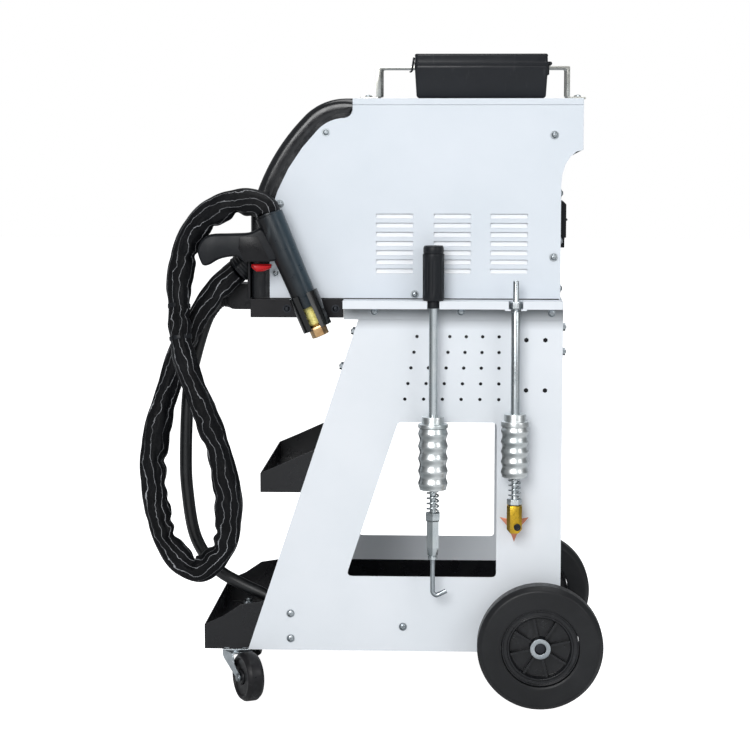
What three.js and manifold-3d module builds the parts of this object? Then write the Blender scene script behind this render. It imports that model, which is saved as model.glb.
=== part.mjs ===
// Dent pulling spot welder on a wheeled trolley, in millimetres, +Z up.
// +X is the rear with the large wheels, -X the front with the controls, and -Y the side that holds the gun.
import * as THREE from 'three';
import { mergeVertices } from 'three/addons/utils/BufferGeometryUtils.js';
import Module from 'manifold-3d';

const wasm = await Module();
wasm.setup();

// Clearances and sheet metal
const gap = 0.3;
const overrun = 5;
const sheet = 2.5;
const thinSheet = 2;

// Trolley side panels: the front edge leans back one in three
const bodyWidth = 350;
const panelBottom = 80;
const panelRear = 33;
const panelFrontAtBottom = -469;
const leanShare = 1 / 3;
const deckTop = 648;
const deckFront = -313;
const deckRear = 31;
const ledgeReach = 37;
const lipHeight = 12.5;
const webHeight = 32;
const flangeDepth = 25;
const crossPanelHeight = 82;
const crossPanelBelowDeck = 36;
const sideWindow = {
  bottom: 202, belowDeck: 196, rear: -70, fromFrontEdge: 118, corner: 7, cornerSteps: 3,
};
const peg = {
  diameter: 6, rows: 5, columns: 6, pitch: 25, belowDeck: 59, rear: -67.5, topSpan: 129.8,
  bottomSpan: 148.9,
};
const bigHole = { diameter: 8, belowDeck: 64, drop: 80, front: -24.5, spacing: 30 };
const holeSides = 6;

// Trays
const upperTray = {
  floor: 337, front: -448, rear: -285, lipHeight: 31, wallHeight: 70, kneeRun: 35, kneeRise: 15,
  slopeRun: 88,
};
const lowerTray = {
  front: -540, lipHeight: 40, wallHeight: 79, kneeRun: 31, kneeRise: 14, shoulderRun: 59,
  shoulderRise: 33, slopeRun: 97,
};

// Rear wheels and axle
const wheel = {
  radius: 100, width: 44, shoulder: 7, shoulderSteps: 3, rimRadius: 61.5, recessRadius: 48,
  hubRadius: 17.5, webThickness: 9, recessDepth: 8, ribCount: 8, ribThickness: 4, ribInset: 5,
  innerFaceFromPanel: 16, segments: 32, rimSegments: 24, firstRibDegrees: 12.8,
};
const axle = { radius: 8.5, insetFromWheelFace: 3, collarRadius: 14, segments: 16 };

// Front casters, shown as they came to rest: each has swung its own way
const caster = {
  x: -489, inset: 25, plate: 44, plateThickness: 2.5, raceRadius: 20, raceHeight: 3, crownThickness: 3,
  wheelRadius: 39.5, tread: 28, trail: 46, nearDegrees: -62, farDegrees: -90, legThickness: 2.5,
  legGap: 1.5, legWidth: 24, axleRadius: 4, headRadius: 6.5, headHeight: 2, pinSegments: 12,
  hubRadius: 10, segments: 20, wheelShoulder: 4, crownSegments: 16,
};

// Cabinet
const cabinet = {
  top: 963, rear: 28, front: -461, band: 30, lowBend: 60, lowDegrees: 15, mainBend: 325, mainDegrees: 45,
  topBend: 91.5, topFlat: 11.1, podRear: 62, podBottom: 883, podStart: 828, podSteps: 5, topLip: 10,
  skin: 2, baseFlange: 22,
};
const louvre = { columns: [-262, -171, -82], width: 58, height: 8, pitch: 14.4, rows: 7, top: 783 };
const bezel = { sideWidth: 30, bottomBar: 36, topBarDegrees: 74, lapDegrees: 1 };
const controlPanel = {
  depthBelow: 14, thickness: 4, displayDegrees: 38, buttonDegrees: 29, knobDegrees: 21,
};
const display = { width: 96, height: 34, thickness: 3 };
const knob = {
  radius: 19, height: 17, skirtRadius: 23, skirtHeight: 4, markerWidth: 3, markerHeight: 2, segments: 24,
};
const button = {
  radius: 8, proud: 5, inside: 9, capRadius: 10, travel: 3, spacing: 44, segments: 16, clearance: 0.5,
};
const outlet = {
  reach: 42, bottom: 627, top: 668, plateTop: 732, plateThickness: 5, nearY: -172, hoodY: -126, farY: -76,
  corner: 12, cornerSteps: 4, ledgeDrop: 11, ledgeStep: 4, sleeveY: -150, sleeveZ: 708, sleeveDegrees: 40,
  sleeveRadius: 21, sleeveReach: 26, exitHeight: 16, segments: 16,
};
const handle = { left: -268, right: 46, height: 53, strip: 4, width: 100, bend: 2.5, foot: 26, y: 10 };
const breaker = {
  y: -92, width: 54, bottom: 727, step: 743, top: 801, stepDepth: 8, depth: 10.5, chamfer: 5,
  windowHeight: 26, windowWidth: 22, recessFloor: 3, leverHub: 3, leverTip: 1.5, leverReach: 7,
  leverWidth: 16, travelDegrees: 24,
};
const gland = {
  x: -40, z: 700, radius: 14, flange: 18, flangeThickness: 4, reach: 20, noseShare: 0.8, bore: 5,
  segments: 16,
};
const rearVent = { y: 20, slotWidth: 70, slotHeight: 6, pitch: 13, rows: 9, top: 800 };

// Transformer inside the cabinet
const transformer = { x: -190, y: 10, width: 170, depth: 150, height: 150, leg: 42, windingWall: 26 };

// Tool box on the cabinet
const toolBox = {
  left: -203, right: 7, near: -160, far: -46, height: 51, taper: 3, wall: 2.5, lidHeight: 18,
  hingeRadius: 3, claspWidth: 34, claspLength: 22, claspThickness: 2.5, claspGap: 0.6, claspShare: 0.7,
};

// Welding gun in its holder
const gun = {
  tailX: -428, tailZ: 782, y: -211, leanDegrees: 23.2, rearRadius: 22.5, noseRadius: 19.5, barrel: 156,
  nose: 22, chuckRadius: 10, chuck: 29, chuckEndShare: 0.8, tipRadius: 14, tip: 20, collar: 4,
  collarRadius: 19.5, grip: 30, gripReach: 112, gripDrop: 80, segments: 24,
};
const gripShares = [
  [-0.09, -0.25], [-0.28, -0.34], [-0.81, -0.38], [-0.94, -0.49], [-1, -0.69], [-0.955, -0.91], [-0.91, -1],
  [-0.83, -0.975], [-0.61, -0.81], [-0.41, -0.8], [-0.34, -0.9], [0.107, -0.9], [0.107, -0.75],
];
const trigger = {
  width: 28, height: 12, thickness: 16, travel: 4, left: -28, seat: -72, stem: 8, stemWidth: 10, root: 4,
  bladeShares: [[0, 0], [1, 0], [1, 0.6], [0.6, 1], [0.2, 0.9], [0, 0.4]],
};
const arm = { front: -461, drop: 29, thickness: 4, shelf: 60 };
const cradle = {
  from: 134, to: 192, wall: 3.5, openDegrees: 44, ledge: 3, block: 26, chuckRoom: 1, segments: 20,
};

// Slide hammers hung on the near ledge
const hammerY = -203;
const weightWaveSteps = 3;
const springSides = 5;
const springStepsPerTurn = 8;
const hookHammer = {
  x: -171, gripTop: 735, capBottom: 722, capRadius: 16, gripRadius: 17, fluteDepth: 1, flutes: 12,
  neckRadius: 8.4, neckBottom: 638, rodRadius: 6.8, nutTop: 300, nutRadius: 12, nutBottom: 312,
  springRodRadius: 5.2, adapterRadius: 10.2, adapterBottom: 256, taperBottom: 242, lowNutRadius: 7.5,
  lowNutBottom: 236, hookWire: 3.75, hookDrop: 55, hookBend: 7, hookArm: 22, hookRise: 7, hookSteps: 5,
  hookTubeSteps: 22, weightTop: 465, weightNutBottom: 454, weightNutRadius: 17.5, flangeBottom: 448,
  weightBottom: 349, weightRadius: 23.5, bulges: 5, waist: 2.5, springRadius: 10.2, springWire: 3,
  springTurns: 4, segments: 16,
};
const starHammer = {
  x: -42, top: 680, thinRadius: 4.6, nutTop: 647, nutBottom: 636, nutRadius: 10, rodRadius: 7,
  springRodRadius: 5, lowNutTop: 335, lowNutBottom: 325, lowNutRadius: 12, block: 24, blockBottom: 281,
  blockChamfer: 6, starReach: 26, starThickness: 3, starNotch: 9, starPoints: 3, starFirstDegrees: 150,
  starZ: 292, weightTop: 470, weightNutBottom: 459, weightNutRadius: 17, flangeBottom: 451,
  weightBottom: 370, weightRadius: 22, bulges: 5, waist: 2.2, springRadius: 10, springWire: 2.8,
  springTurns: 4, segments: 16, shelf: 34, shelfThickness: 2.5,
};
const slot = { clearance: 1.2, pocket: 22.5 };

// Cables
const sleeve = { diameter: 39, leadShare: 0.2, sides: 10, steps: 64 };
const earth = {
  diameter: 20, sides: 8, steps: 40, turns: 2, dropTurns: 0.5, acrossShare: 9.2, spacing: 0.8, x: -285,
  y: -40, startDegrees: -90, loopSteps: 24, loopSides: 6, lead: 17, endLead: 60,
};
const clamp = {
  length: 108, width: 44, thickness: 22, jawGap: 8, jawDepth: 46, throat: 14, tongue: 18, tongueWidth: 20,
};

const degree = Math.PI / 180;
const halfWidth = bodyWidth / 2;
const frameShift = (-lowerTray.front - wheel.radius) / 2;
const wheelOuterFace = halfWidth + wheel.innerFaceFromPanel + wheel.width;
const V2 = (x, y) => new THREE.Vector2(x, y);
const V3 = (x, y, z) => new THREE.Vector3(x, y, z);

// Turns any closed geometry into an indexed one with shared corners and no empty triangles
function closed(geometry) {
  const bare = geometry.clone();
  bare.deleteAttribute('normal');
  bare.deleteAttribute('uv');
  const merged = mergeVertices(bare, 1e-4);
  const source = merged.getIndex().array;
  const kept = [];
  for (let i = 0; i < source.length; i += 3) {
    const [a, b, c] = [source[i], source[i + 1], source[i + 2]];
    if (a !== b && b !== c && a !== c) kept.push(a, b, c);
  }
  merged.setIndex(kept);
  return merged;
}

function toSolid(geometry) {
  const merged = closed(geometry);
  return new wasm.Manifold(new wasm.Mesh({
    numProp: 3,
    vertProperties: new Float32Array(merged.getAttribute('position').array),
    triVerts: new Uint32Array(merged.getIndex().array),
  }));
}

function toGeometry(solid) {
  const mesh = solid.getMesh();
  const geometry = new THREE.BufferGeometry();
  geometry.setAttribute('position', new THREE.BufferAttribute(mesh.vertProperties, mesh.numProp));
  geometry.setIndex([...mesh.triVerts]);
  return geometry;
}

function joined(first, ...others) {
  return others.reduce((sum, geometry) => sum.add(toSolid(geometry)), toSolid(first));
}
const cut = (solid, ...tools) => tools.reduce((rest, geometry) => rest.subtract(toSolid(geometry)), solid);

// Basic forms, all in trolley coordinates
function box(x0, x1, y0, y1, z0, z1) {
  const geometry = new THREE.BoxGeometry(x1 - x0, y1 - y0, z1 - z0);
  return geometry.translate((x0 + x1) / 2, (y0 + y1) / 2, (z0 + z1) / 2);
}

function shapeOf(points) {
  return new THREE.Shape(points);
}

// A side outline in X and Z, drawn across from y0 to y1
function acrossY(shape, y0, y1, curveSegments = 8) {
  const geometry = new THREE.ExtrudeGeometry(shape, { depth: y1 - y0, bevelEnabled: false, curveSegments });
  return geometry.rotateX(Math.PI / 2).translate(0, y1, 0);
}

// A section in Y and Z, drawn along X from x0 to x1
function alongX(points, x0, x1) {
  const geometry = new THREE.ExtrudeGeometry(shapeOf(points), { depth: x1 - x0, bevelEnabled: false });
  const turn = new THREE.Matrix4().makeBasis(V3(0, 1, 0), V3(0, 0, 1), V3(1, 0, 0));
  return geometry.applyMatrix4(turn).translate(x0, 0, 0);
}

function alongZ(shape, z0, z1, curveSegments = 8) {
  const geometry = new THREE.ExtrudeGeometry(shape, { depth: z1 - z0, bevelEnabled: false, curveSegments });
  return geometry.translate(0, 0, z0);
}

// A turned part: radius and height pairs about Z
function turned(profile, segments) {
  const points = profile.map(([radius, height]) => V2(radius, height));
  return new THREE.LatheGeometry(points, segments).rotateX(Math.PI / 2);
}

function rod(radius, z0, z1, segments) {
  return turned([[0, z0], [radius, z0], [radius, z1], [0, z1]], segments);
}

// Points a form made about +Z along a direction, with its zero height at a place
function pointed(geometry, direction, place) {
  const turn = new THREE.Quaternion().setFromUnitVectors(V3(0, 0, 1), direction.clone().normalize());
  return geometry.applyQuaternion(turn).translate(place.x, place.y, place.z);
}

function crossRod(radius, x, z, y0, y1, segments) {
  return pointed(rod(radius, y0, y1, segments), V3(0, 1, 0), V3(x, 0, z));
}

function ringSection(radius, sides) {
  const points = [];
  for (let i = 0; i < sides; i++) {
    const angle = (i + 0.5) / sides * 2 * Math.PI;
    points.push(V2(radius * Math.cos(angle), radius * Math.sin(angle)));
  }
  return shapeOf(points);
}

function tube(points, radius, sides, steps, tension = 0.5) {
  const path = new THREE.CatmullRomCurve3(points, false, 'catmullrom', tension);
  const settings = { steps, bevelEnabled: false, extrudePath: path };
  return new THREE.ExtrudeGeometry(ringSection(radius, sides), settings);
}

// A tube through exact points whose section stays upright, for coils and springs
function woundTube(points, radius, sides) {
  const positions = [];
  const up = V3(0, 0, 1);
  points.forEach((point, i) => {
    const before = points[Math.max(i - 1, 0)];
    const after = points[Math.min(i + 1, points.length - 1)];
    const ahead = after.clone().sub(before).normalize();
    const side = V3().crossVectors(ahead, up).normalize();
    const rise = V3().crossVectors(side, ahead);
    for (let k = 0; k < sides; k++) {
      const angle = k / sides * 2 * Math.PI;
      const at = point.clone();
      at.addScaledVector(side, radius * Math.cos(angle));
      at.addScaledVector(rise, radius * Math.sin(angle));
      positions.push(at.x, at.y, at.z);
    }
  });
  const index = [];
  const last = (points.length - 1) * sides;
  for (let i = 0; i < points.length - 1; i++) {
    for (let k = 0; k < sides; k++) {
      const a = i * sides + k;
      const b = i * sides + (k + 1) % sides;
      index.push(a, a + sides, b, b, a + sides, b + sides);
    }
  }
  for (let k = 1; k < sides - 1; k++) {
    index.push(0, k, k + 1);
    index.push(last, last + k + 1, last + k);
  }
  const geometry = new THREE.BufferGeometry();
  geometry.setAttribute('position', new THREE.Float32BufferAttribute(positions, 3));
  geometry.setIndex(index);
  return geometry;
}

// Least room between a wound tube's own turns, measured from point to point along it
function leastGap(points, diameter) {
  let least = Infinity;
  const along = [0];
  for (let i = 1; i < points.length; i++) along.push(along[i - 1] + points[i].distanceTo(points[i - 1]));
  const segment = new THREE.Line3();
  const nearest = V3();
  for (let i = 0; i < points.length; i++) {
    for (let j = i + 1; j < points.length - 1; j++) {
      if (along[j] - along[i] < diameter * 3) continue;
      segment.set(points[j], points[j + 1]);
      segment.closestPointToPoint(points[i], true, nearest);
      least = Math.min(least, nearest.distanceTo(points[i]) - diameter);
    }
  }
  return least;
}

function mirroredProfile(half) {
  const other = half.map(([y, z]) => [-y, z]).reverse();
  return [...half, ...other].map(([y, z]) => V2(y, z));
}

// Materials
function finish(color, roughness, metalness) {
  return new THREE.MeshStandardMaterial({ color, roughness, metalness });
}
const paleGrey = finish(0xd9dadb, 0.45, 0.1);
const blackPaint = finish(0x1d1e20, 0.5, 0.1);
const blackPlastic = finish(0x161719, 0.55, 0);
const rubber = finish(0x141414, 0.8, 0);
const rimGrey = finish(0x8b8e90, 0.6, 0);
const zinc = finish(0xb9bcbe, 0.35, 0.9);
const steel = finish(0xa8abae, 0.3, 1);
const stainless = finish(0xc9cbcc, 0.25, 1);
const brass = finish(0xc9a24a, 0.35, 1);
const copper = finish(0xb8683c, 0.35, 1);
const redPlastic = finish(0xc3191c, 0.4, 0);
const screenGlass = finish(0x10181f, 0.15, 0);
const fabricBlack = finish(0x17181b, 0.9, 0);
const winding = finish(0xa85a2c, 0.5, 0.4);
const greyPlastic = finish(0x4a4d50, 0.55, 0);

const assembly = new THREE.Group();
assembly.position.x = frameShift;
function add(name, shape, material) {
  const geometry = shape.isBufferGeometry ? closed(shape) : toGeometry(shape);
  geometry.computeVertexNormals();
  const mesh = new THREE.Mesh(geometry, material);
  mesh.name = name;
  assembly.add(mesh);
}

// Side panels
const frontEdgeX = (z) => panelFrontAtBottom + (z - panelBottom) * leanShare;
const panelTop = deckTop - sheet - gap;
const panelInner = halfWidth - sheet;

function sidePanelOutline() {
  return shapeOf([
    V2(panelFrontAtBottom, panelBottom), V2(panelRear, panelBottom),
    V2(panelRear, panelTop), V2(frontEdgeX(panelTop), panelTop),
  ]);
}

// A closed outline whose corners are rounded by a common radius
function roundedOutline(corners, radius, steps) {
  const points = [];
  corners.forEach((corner, i) => {
    const before = corners[(i + corners.length - 1) % corners.length];
    const after = corners[(i + 1) % corners.length];
    const back = before.clone().sub(corner).normalize();
    const ahead = after.clone().sub(corner).normalize();
    const half = Math.acos(THREE.MathUtils.clamp(back.dot(ahead), -1, 1)) / 2;
    const run = radius / Math.tan(half);
    const start = corner.clone().addScaledVector(back, run);
    const end = corner.clone().addScaledVector(ahead, run);
    const curve = new THREE.QuadraticBezierCurve(start, corner, end);
    points.push(...curve.getPoints(steps));
  });
  return shapeOf(points);
}

function windowOutline() {
  const { bottom, rear, fromFrontEdge, corner, cornerSteps } = sideWindow;
  const top = deckTop - sideWindow.belowDeck;
  const frontAt = (z) => frontEdgeX(z) + fromFrontEdge;
  return roundedOutline([
    V2(frontAt(bottom), bottom), V2(rear, bottom), V2(rear, top), V2(frontAt(top), top),
  ], corner, cornerSteps);
}

function pegHolePlaces() {
  const places = [];
  for (let row = 0; row < peg.rows; row++) {
    const span = peg.topSpan + (peg.bottomSpan - peg.topSpan) * row / (peg.rows - 1);
    for (let column = 0; column < peg.columns; column++) {
      const x = peg.rear - span * column / (peg.columns - 1);
      places.push([x, deckTop - peg.belowDeck - row * peg.pitch, peg.diameter]);
    }
  }
  return places;
}

function bigHolePlaces() {
  const places = [];
  const top = deckTop - bigHole.belowDeck;
  for (const x of [bigHole.front, bigHole.front + bigHole.spacing]) {
    for (const z of [top, top - bigHole.drop]) places.push([x, z, bigHole.diameter]);
  }
  return places;
}

const crossTop = deckTop - crossPanelBelowDeck;
const crossBottom = crossTop - crossPanelHeight;

function sidePanel(side) {
  const range = (from, to) => [side * from, side * to].sort((a, b) => a - b);
  const across = (shape, from, to) => acrossY(shape, ...range(from, to));
  const frontFlange = shapeOf([
    V2(frontEdgeX(crossBottom), crossBottom), V2(frontEdgeX(crossBottom) + sheet, crossBottom),
    V2(frontEdgeX(crossTop) + sheet, crossTop), V2(frontEdgeX(crossTop), crossTop),
  ]);
  const flangeAcross = range(halfWidth - flangeDepth, halfWidth);
  const rearFlange = box(panelRear - sheet, panelRear, ...flangeAcross, panelBottom, crossTop);
  const solid = joined(across(sidePanelOutline(), panelInner, halfWidth),
    across(frontFlange, halfWidth - flangeDepth, halfWidth), rearFlange);
  const through = range(panelInner - overrun, halfWidth + overrun);
  const holes = [...pegHolePlaces(), ...bigHolePlaces()]
    .map(([x, z, diameter]) => crossRod(diameter / 2, x, z, ...through, holeSides));
  const axleHole = crossRod(axle.radius + gap, 0, wheel.radius, ...through, axle.segments);
  return cut(solid, across(windowOutline(), panelInner - overrun, halfWidth + overrun), axleHole, ...holes);
}

add('near_side_panel', sidePanel(-1), paleGrey);
add('far_side_panel', sidePanel(1), paleGrey);

// Deck with a downturned lip on each side, and the notches that the hammers hang in
function deckProfile() {
  const outer = halfWidth + ledgeReach;
  const under = deckTop - sheet;
  const web = halfWidth + gap;
  return mirroredProfile([
    [outer, deckTop], [outer, deckTop - lipHeight], [outer - thinSheet, deckTop - lipHeight],
    [outer - thinSheet, under],
    [web + thinSheet, under], [web + thinSheet, deckTop - webHeight], [web, deckTop - webHeight],
    [web, under],
  ]);
}

function notch(x, halfOpening, z0, z1) {
  const round = rod(halfOpening, z0, z1, holeSides * 2).translate(x, hammerY, 0);
  const near = -halfWidth - ledgeReach - overrun;
  return joined(box(x - halfOpening, x + halfOpening, near, hammerY, z0, z1), round);
}

function deck() {
  const outer = -halfWidth - ledgeReach;
  const shelfTop = starHammer.nutBottom - gap;
  const shelf = box(starHammer.x - starHammer.shelf / 2, starHammer.x + starHammer.shelf / 2,
    outer, -halfWidth - gap, shelfTop - starHammer.shelfThickness, shelfTop);
  const above = deckTop + overrun;
  const below = deckTop - lipHeight - overrun;
  return joined(alongX(deckProfile(), deckFront, deckRear))
    .subtract(notch(starHammer.x, slot.pocket / 2, shelfTop, above))
    .add(toSolid(shelf))
    .subtract(notch(hookHammer.x, hookHammer.neckRadius + slot.clearance, below, above))
    .subtract(notch(starHammer.x, starHammer.rodRadius + slot.clearance, below, above));
}

add('deck', deck(), paleGrey);

// Cross panels that tie the side panels together under the deck
function frontCrossPanel() {
  const behind = sheet + gap;
  const outline = shapeOf([
    V2(frontEdgeX(crossBottom) + behind, crossBottom),
    V2(frontEdgeX(crossBottom) + behind + sheet, crossBottom),
    V2(frontEdgeX(crossTop) + behind + sheet, crossTop), V2(frontEdgeX(crossTop) + behind, crossTop),
  ]);
  return acrossY(outline, -panelInner + gap, panelInner - gap);
}

const rearInner = panelRear - sheet - gap;
add('front_cross_panel', frontCrossPanel(), paleGrey);
const crossHalf = panelInner - gap;
const rearCross = box(rearInner - sheet, rearInner, -crossHalf, crossHalf, crossBottom, crossTop);
add('rear_cross_panel', rearCross, paleGrey);

// Trays folded from sheet, lower at the front
const trayHalf = panelInner - gap;

function tray(outline, front, rear, floor) {
  const top = floor + lowerTray.wallHeight + overrun;
  const innerHalf = trayHalf - thinSheet;
  const inside = box(front + thinSheet, rear - thinSheet, -innerHalf, innerHalf, floor + thinSheet, top);
  return cut(joined(acrossY(shapeOf(outline), -trayHalf, trayHalf)), inside);
}

function upperTrayOutline() {
  const t = upperTray;
  return [
    V2(t.front, t.floor), V2(t.rear, t.floor), V2(t.rear, t.floor + t.wallHeight),
    V2(t.front + t.slopeRun, t.floor + t.wallHeight),
    V2(t.front + t.kneeRun, t.floor + t.lipHeight + t.kneeRise), V2(t.front, t.floor + t.lipHeight),
  ];
}

function lowerTrayOutline() {
  const t = lowerTray;
  return [
    V2(t.front, panelBottom), V2(rearInner, panelBottom), V2(rearInner, panelBottom + t.wallHeight),
    V2(t.front + t.slopeRun, panelBottom + t.wallHeight),
    V2(t.front + t.shoulderRun, panelBottom + t.lipHeight + t.shoulderRise),
    V2(t.front + t.kneeRun, panelBottom + t.lipHeight + t.kneeRise), V2(t.front, panelBottom + t.lipHeight),
  ];
}

add('upper_tray', tray(upperTrayOutline(), upperTray.front, upperTray.rear, upperTray.floor), blackPaint);
const trayAxleHole = crossRod(axle.radius + gap, 0, wheel.radius, -halfWidth, halfWidth, axle.segments);
const lowerTraySheet = tray(lowerTrayOutline(), lowerTray.front, rearInner, panelBottom);
add('lower_tray', cut(lowerTraySheet, trayAxleHole), blackPaint);

// Rear axle with a collar outside each panel, which spaces the wheel off
const wheelInnerFace = halfWidth + wheel.innerFaceFromPanel;

function rearAxle() {
  const end = wheelOuterFace - axle.insetFromWheelFace;
  const collarFrom = halfWidth + gap;
  const collarTo = wheelInnerFace - gap;
  return pointed(turned([
    [0, -end], [axle.radius, -end], [axle.radius, -collarTo], [axle.collarRadius, -collarTo],
    [axle.collarRadius, -collarFrom],
    [axle.radius, -collarFrom], [axle.radius, collarFrom], [axle.collarRadius, collarFrom],
    [axle.collarRadius, collarTo],
    [axle.radius, collarTo], [axle.radius, end], [0, end],
  ], axle.segments), V3(0, 1, 0), V3(0, 0, wheel.radius));
}

add('rear_axle', rearAxle(), steel);

// Rear wheels: a solid tyre on a ribbed rim
function tyreProfile() {
  const half = wheel.width / 2;
  const inner = wheel.rimRadius + gap;
  const points = [[inner, -half], [wheel.radius - wheel.shoulder, -half]];
  for (const side of [-1, 1]) {
    for (let i = 0; i <= wheel.shoulderSteps; i++) {
      const angle = (side < 0 ? i - wheel.shoulderSteps : i) / wheel.shoulderSteps * Math.PI / 2;
      points.push([
        wheel.radius - wheel.shoulder + wheel.shoulder * Math.cos(angle),
        side * (half - wheel.shoulder) + wheel.shoulder * Math.sin(angle),
      ]);
    }
  }
  points.push([inner, half], [inner, -half]);
  const differs = (a, b) => a[0] !== b[0] || a[1] !== b[1];
  return points.filter((point, i) => i === 0 || differs(point, points[i - 1]));
}

function rim() {
  const half = wheel.width / 2;
  const web = wheel.webThickness / 2;
  const body = turned([
    [axle.radius + gap, -half], [wheel.hubRadius, -half], [wheel.hubRadius, -web],
    [wheel.recessRadius, -web],
    [wheel.recessRadius, -half + wheel.ribInset], [wheel.rimRadius, -half + wheel.ribInset],
    [wheel.rimRadius, half - wheel.ribInset], [wheel.recessRadius, half - wheel.ribInset],
    [wheel.recessRadius, web],
    [wheel.hubRadius, web], [wheel.hubRadius, half], [axle.radius + gap, half], [axle.radius + gap, -half],
  ], wheel.rimSegments);
  const ribHalf = half - wheel.recessDepth;
  const ribs = [];
  for (let i = 0; i < wheel.ribCount; i++) {
    const half = wheel.ribThickness / 2;
    const rib = box(wheel.hubRadius - gap, wheel.recessRadius + gap, -half, half, -ribHalf, ribHalf);
    ribs.push(rib.rotateZ(wheel.firstRibDegrees * degree + i / wheel.ribCount * 2 * Math.PI));
  }
  return toGeometry(joined(body, ...ribs));
}

for (const [name, side] of [['near', -1], ['far', 1]]) {
  const place = V3(0, side * (wheelInnerFace + wheel.width / 2), wheel.radius);
  add(`${name}_tyre`, pointed(turned(tyreProfile(), wheel.segments), V3(0, 1, 0), place), rubber);
  add(`${name}_rim`, pointed(rim(), V3(0, 1, 0), place), rimGrey);
}

// Swivel casters under the lower tray
const casterPlateTop = panelBottom - gap;
const casterPlateBottom = casterPlateTop - caster.plateThickness;
const crownTop = casterPlateBottom - caster.raceHeight - gap;

function casterPlate() {
  const half = caster.plate / 2;
  return joined(box(-half, half, -half, half, casterPlateBottom, casterPlateTop),
    rod(caster.raceRadius, casterPlateBottom - caster.raceHeight, casterPlateBottom, caster.crownSegments));
}

// The fork is made with its trail along +X and turned afterwards
function casterFork() {
  const crownBottom = crownTop - caster.crownThickness;
  const inner = caster.tread / 2 + caster.legGap;
  const outer = inner + caster.legThickness;
  const legOutline = shapeOf([
    V2(-caster.legWidth / 2, crownTop), V2(caster.raceRadius, crownTop),
    V2(caster.trail + caster.headRadius, caster.wheelRadius + caster.headRadius),
    V2(caster.trail + caster.headRadius, caster.wheelRadius - caster.headRadius),
    V2(caster.trail - caster.headRadius, caster.wheelRadius - caster.headRadius),
    V2(-caster.legWidth / 2, crownBottom - caster.legWidth / 2),
  ]);
  const pin = crossRod(caster.axleRadius, caster.trail, caster.wheelRadius, -outer - caster.headHeight,
    outer + caster.headHeight, caster.pinSegments);
  const crown = rod(caster.raceRadius, crownBottom, crownTop, caster.crownSegments);
  return joined(crown, acrossY(legOutline, inner, outer), acrossY(legOutline, -outer, -inner), pin);
}

function casterWheel() {
  const half = caster.tread / 2;
  const bore = caster.axleRadius + gap;
  const soft = caster.wheelShoulder;
  const profile = [
    [bore, -half], [caster.hubRadius, -half], [caster.hubRadius, -half + soft / 2],
    [caster.wheelRadius - soft * 2, -half + soft / 2], [caster.wheelRadius - soft, -half],
    [caster.wheelRadius, -half + soft],
    [caster.wheelRadius, half - soft], [caster.wheelRadius - soft, half],
    [caster.wheelRadius - soft * 2, half - soft / 2],
    [caster.hubRadius, half - soft / 2], [caster.hubRadius, half], [bore, half], [bore, -half],
  ];
  return pointed(turned(profile, caster.segments), V3(0, 1, 0), V3(caster.trail, 0, caster.wheelRadius));
}

const casterSides = [['near', -1, caster.nearDegrees], ['far', 1, caster.farDegrees]];
for (const [name, side, trailDegrees] of casterSides) {
  const y = side * (halfWidth - caster.inset);
  const turnAbout = (geometry) => geometry.rotateZ(trailDegrees * degree).translate(caster.x, y, 0);
  add(`${name}_caster_plate`, toGeometry(casterPlate()).translate(caster.x, y, 0), zinc);
  add(`${name}_caster_fork`, turnAbout(toGeometry(casterFork())), zinc);
  add(`${name}_caster_wheel`, turnAbout(casterWheel()), rubber);
}

// Cabinet side outline: the front is a chain of bends that stay tangent to each other
const lowSine = Math.sin(cabinet.lowDegrees * degree);
const lowCosine = Math.cos(cabinet.lowDegrees * degree);
const mainSine = Math.sin(cabinet.mainDegrees * degree);
const mainCosine = Math.cos(cabinet.mainDegrees * degree);
const lowBendRise = cabinet.lowBend * lowSine;
const mainBendRise = cabinet.mainBend * (mainSine - lowSine);
const topBendRise = cabinet.topBend * (1 - mainSine);
const straightTop = cabinet.top - topBendRise - mainBendRise - lowBendRise;
const lowCentre = V2(cabinet.front + cabinet.lowBend, straightTop);
const mainCentre = V2(lowCentre.x + (cabinet.mainBend - cabinet.lowBend) * lowCosine,
  lowCentre.y - (cabinet.mainBend - cabinet.lowBend) * lowSine);
const topCentreRun = (cabinet.mainBend - cabinet.topBend) * mainCosine;
const topCentre = V2(mainCentre.x - topCentreRun, cabinet.top - cabinet.topBend);
const topFront = topCentre.x + cabinet.topFlat;
const cabinetBottom = deckTop + gap;
const arcDegreesPerStep = 7.5;

// A point on the cabinet's front curve, set in by a depth, where the curve's normal rises by an angle
function frontPoint(degrees, depth) {
  const angle = degrees * degree;
  const pick = (centre, radius) => {
    const reach = radius - depth;
    return V2(centre.x - reach * Math.cos(angle), centre.y + reach * Math.sin(angle));
  };
  if (degrees <= cabinet.lowDegrees) return pick(lowCentre, cabinet.lowBend);
  if (degrees <= cabinet.mainDegrees) return pick(mainCentre, cabinet.mainBend);
  return pick(topCentre, cabinet.topBend);
}

function frontCurve(depth, toDegrees = 90, bottom = cabinetBottom) {
  const points = [V2(cabinet.front + depth, bottom)];
  const steps = Math.round(toDegrees / arcDegreesPerStep);
  for (let i = 0; i <= steps; i++) points.push(frontPoint(toDegrees * i / steps, depth));
  return points;
}

// The pod at the rear top, where the back swells out in a hollow curve
function rearCurve(depth) {
  const reach = cabinet.podRear - cabinet.rear;
  const rise = cabinet.podBottom - cabinet.podStart;
  const points = [];
  for (let i = 0; i <= cabinet.podSteps; i++) {
    const angle = i / cabinet.podSteps * Math.PI / 2;
    const x = cabinet.rear - depth + reach * (1 - Math.cos(angle));
    points.push(V2(x, cabinet.podStart + rise * Math.sin(angle)));
  }
  return points;
}

const coverTop = cabinet.top - cabinet.topLip - gap;

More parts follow.
